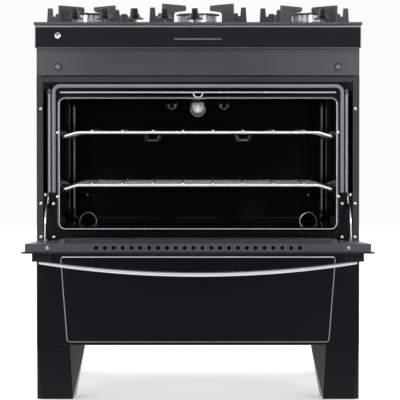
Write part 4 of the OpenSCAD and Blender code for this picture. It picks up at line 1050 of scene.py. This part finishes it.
# ---- Door: inner panel, glasses, clips ----
# A shallow pressed tub in dark grey enamel with a row of vent holes along its edge, a window glass
# behind it and one large sheet of black-backed glass on the outside.
door_enamel = finish("door_enamel", (0.033, 0.03, 0.042), (0.045, 0.042, 0.056), 0.32, 0.05)
rounded_node("door_inner_panel", 0.45 * MM, door_enamel)
door_black = finish("door_black", (0.006, 0.006, 0.008), (0.008, 0.008, 0.010), 0.05, 0.02, patch=2.0,
                    grain=40.0, depth=0.004)
rounded_node("door_outer_glass", 0.8 * MM, door_black, 3)
rounded_node("clips_and_screws", 0.3 * MM, screw_bright)
window = bpy.data.materials.new("window_glass")
window.use_nodes = True
pane = window.node_tree.nodes["Principled BSDF"]
pane.inputs["Base Color"].default_value = (0.35, 0.37, 0.38, 1)
pane.inputs["Transmission Weight"].default_value = 1.0
smear = window.node_tree.nodes.new("ShaderNodeTexNoise")
smear.inputs["Scale"].default_value = 9.0
haze = window.node_tree.nodes.new("ShaderNodeMapRange")
haze.inputs["To Min"].default_value = 0.01
haze.inputs["To Max"].default_value = 0.07
window.node_tree.links.new(smear.outputs["Fac"], haze.inputs["Value"])
window.node_tree.links.new(haze.outputs["Result"], pane.inputs["Roughness"])
rounded_node("door_inner_glass", 0.5 * MM, window)

# ---- Door handle ----
# A bowed bar of satin aluminium, rounded in section and slimmer at its ends, held by two black
# moulded mounts.
handle_metal = finish("handle_metal", (0.84, 0.84, 0.86), (0.9, 0.9, 0.92), 0.42, 0.05, metal=0.9,
                      stretch=0.02, grain=900.0, depth=0.1)
mount_plastic = finish("mount_plastic", (0.002, 0.002, 0.003), (0.004, 0.004, 0.005), 0.34, 0.06,
                       grain=1200.0, gleam=0.3)
hinge = next(j for j in frame["joints"] if j["name"] == "door_hinge")
axis_point = Vector(hinge["pos_m"])
swing = Matrix.Translation(axis_point) @ Matrix.Rotation(math.radians(-hinge["range_deg"][0]), 4, "X") \
    @ Matrix.Translation(-axis_point)
pull_half, pull_sag, pull_off = 345 * MM, 26 * MM, 15 * MM
pull_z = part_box("fascia_trim")[0][2] - 3 * MM - 43 * MM
bar_bm = bmesh.new()
bar_rings = []
stations, around = 60, 20
for i in range(stations + 1):
    t = -1 + 2 * i / stations
    x = pull_half * t
    out = FACE - pull_off - 4.75 * MM - pull_sag * (1 - t * t)
    thick = (4.75 - 1.2 * abs(t) ** 4) * MM
    tall = (8.9 - 1.6 * abs(t) ** 4) * MM
    lean = math.atan(2 * pull_sag * t / pull_half)
    ring = []
    for k in range(around):
        a = 2 * math.pi * k / around
        u = math.copysign(abs(math.cos(a)) ** 0.75, math.cos(a)) * thick
        w = math.copysign(abs(math.sin(a)) ** 0.75, math.sin(a)) * tall
        ring.append(bar_bm.verts.new((x - u * math.sin(lean), out + u * math.cos(lean), pull_z + w)))
    bar_rings.append(ring)
for low, high in zip(bar_rings, bar_rings[1:]):
    for k in range(around):
        m = (k + 1) % around
        bar_bm.faces.new((low[k], low[m], high[m], high[k]))
bar_bm.faces.new(list(reversed(bar_rings[0])))
bar_bm.faces.new(bar_rings[-1])
bmesh.ops.recalc_face_normals(bar_bm, faces=bar_bm.faces)
bar_mesh = shaded(bar_bm, "handle_bar", 50)
bar_mesh.transform(swing)
add_piece("door_handle_bar", bar_mesh, handle_metal, "door", "handle_metal", "door_handle")
rounded_node("handle_mounts", 2.2 * MM, mount_plastic, 4)
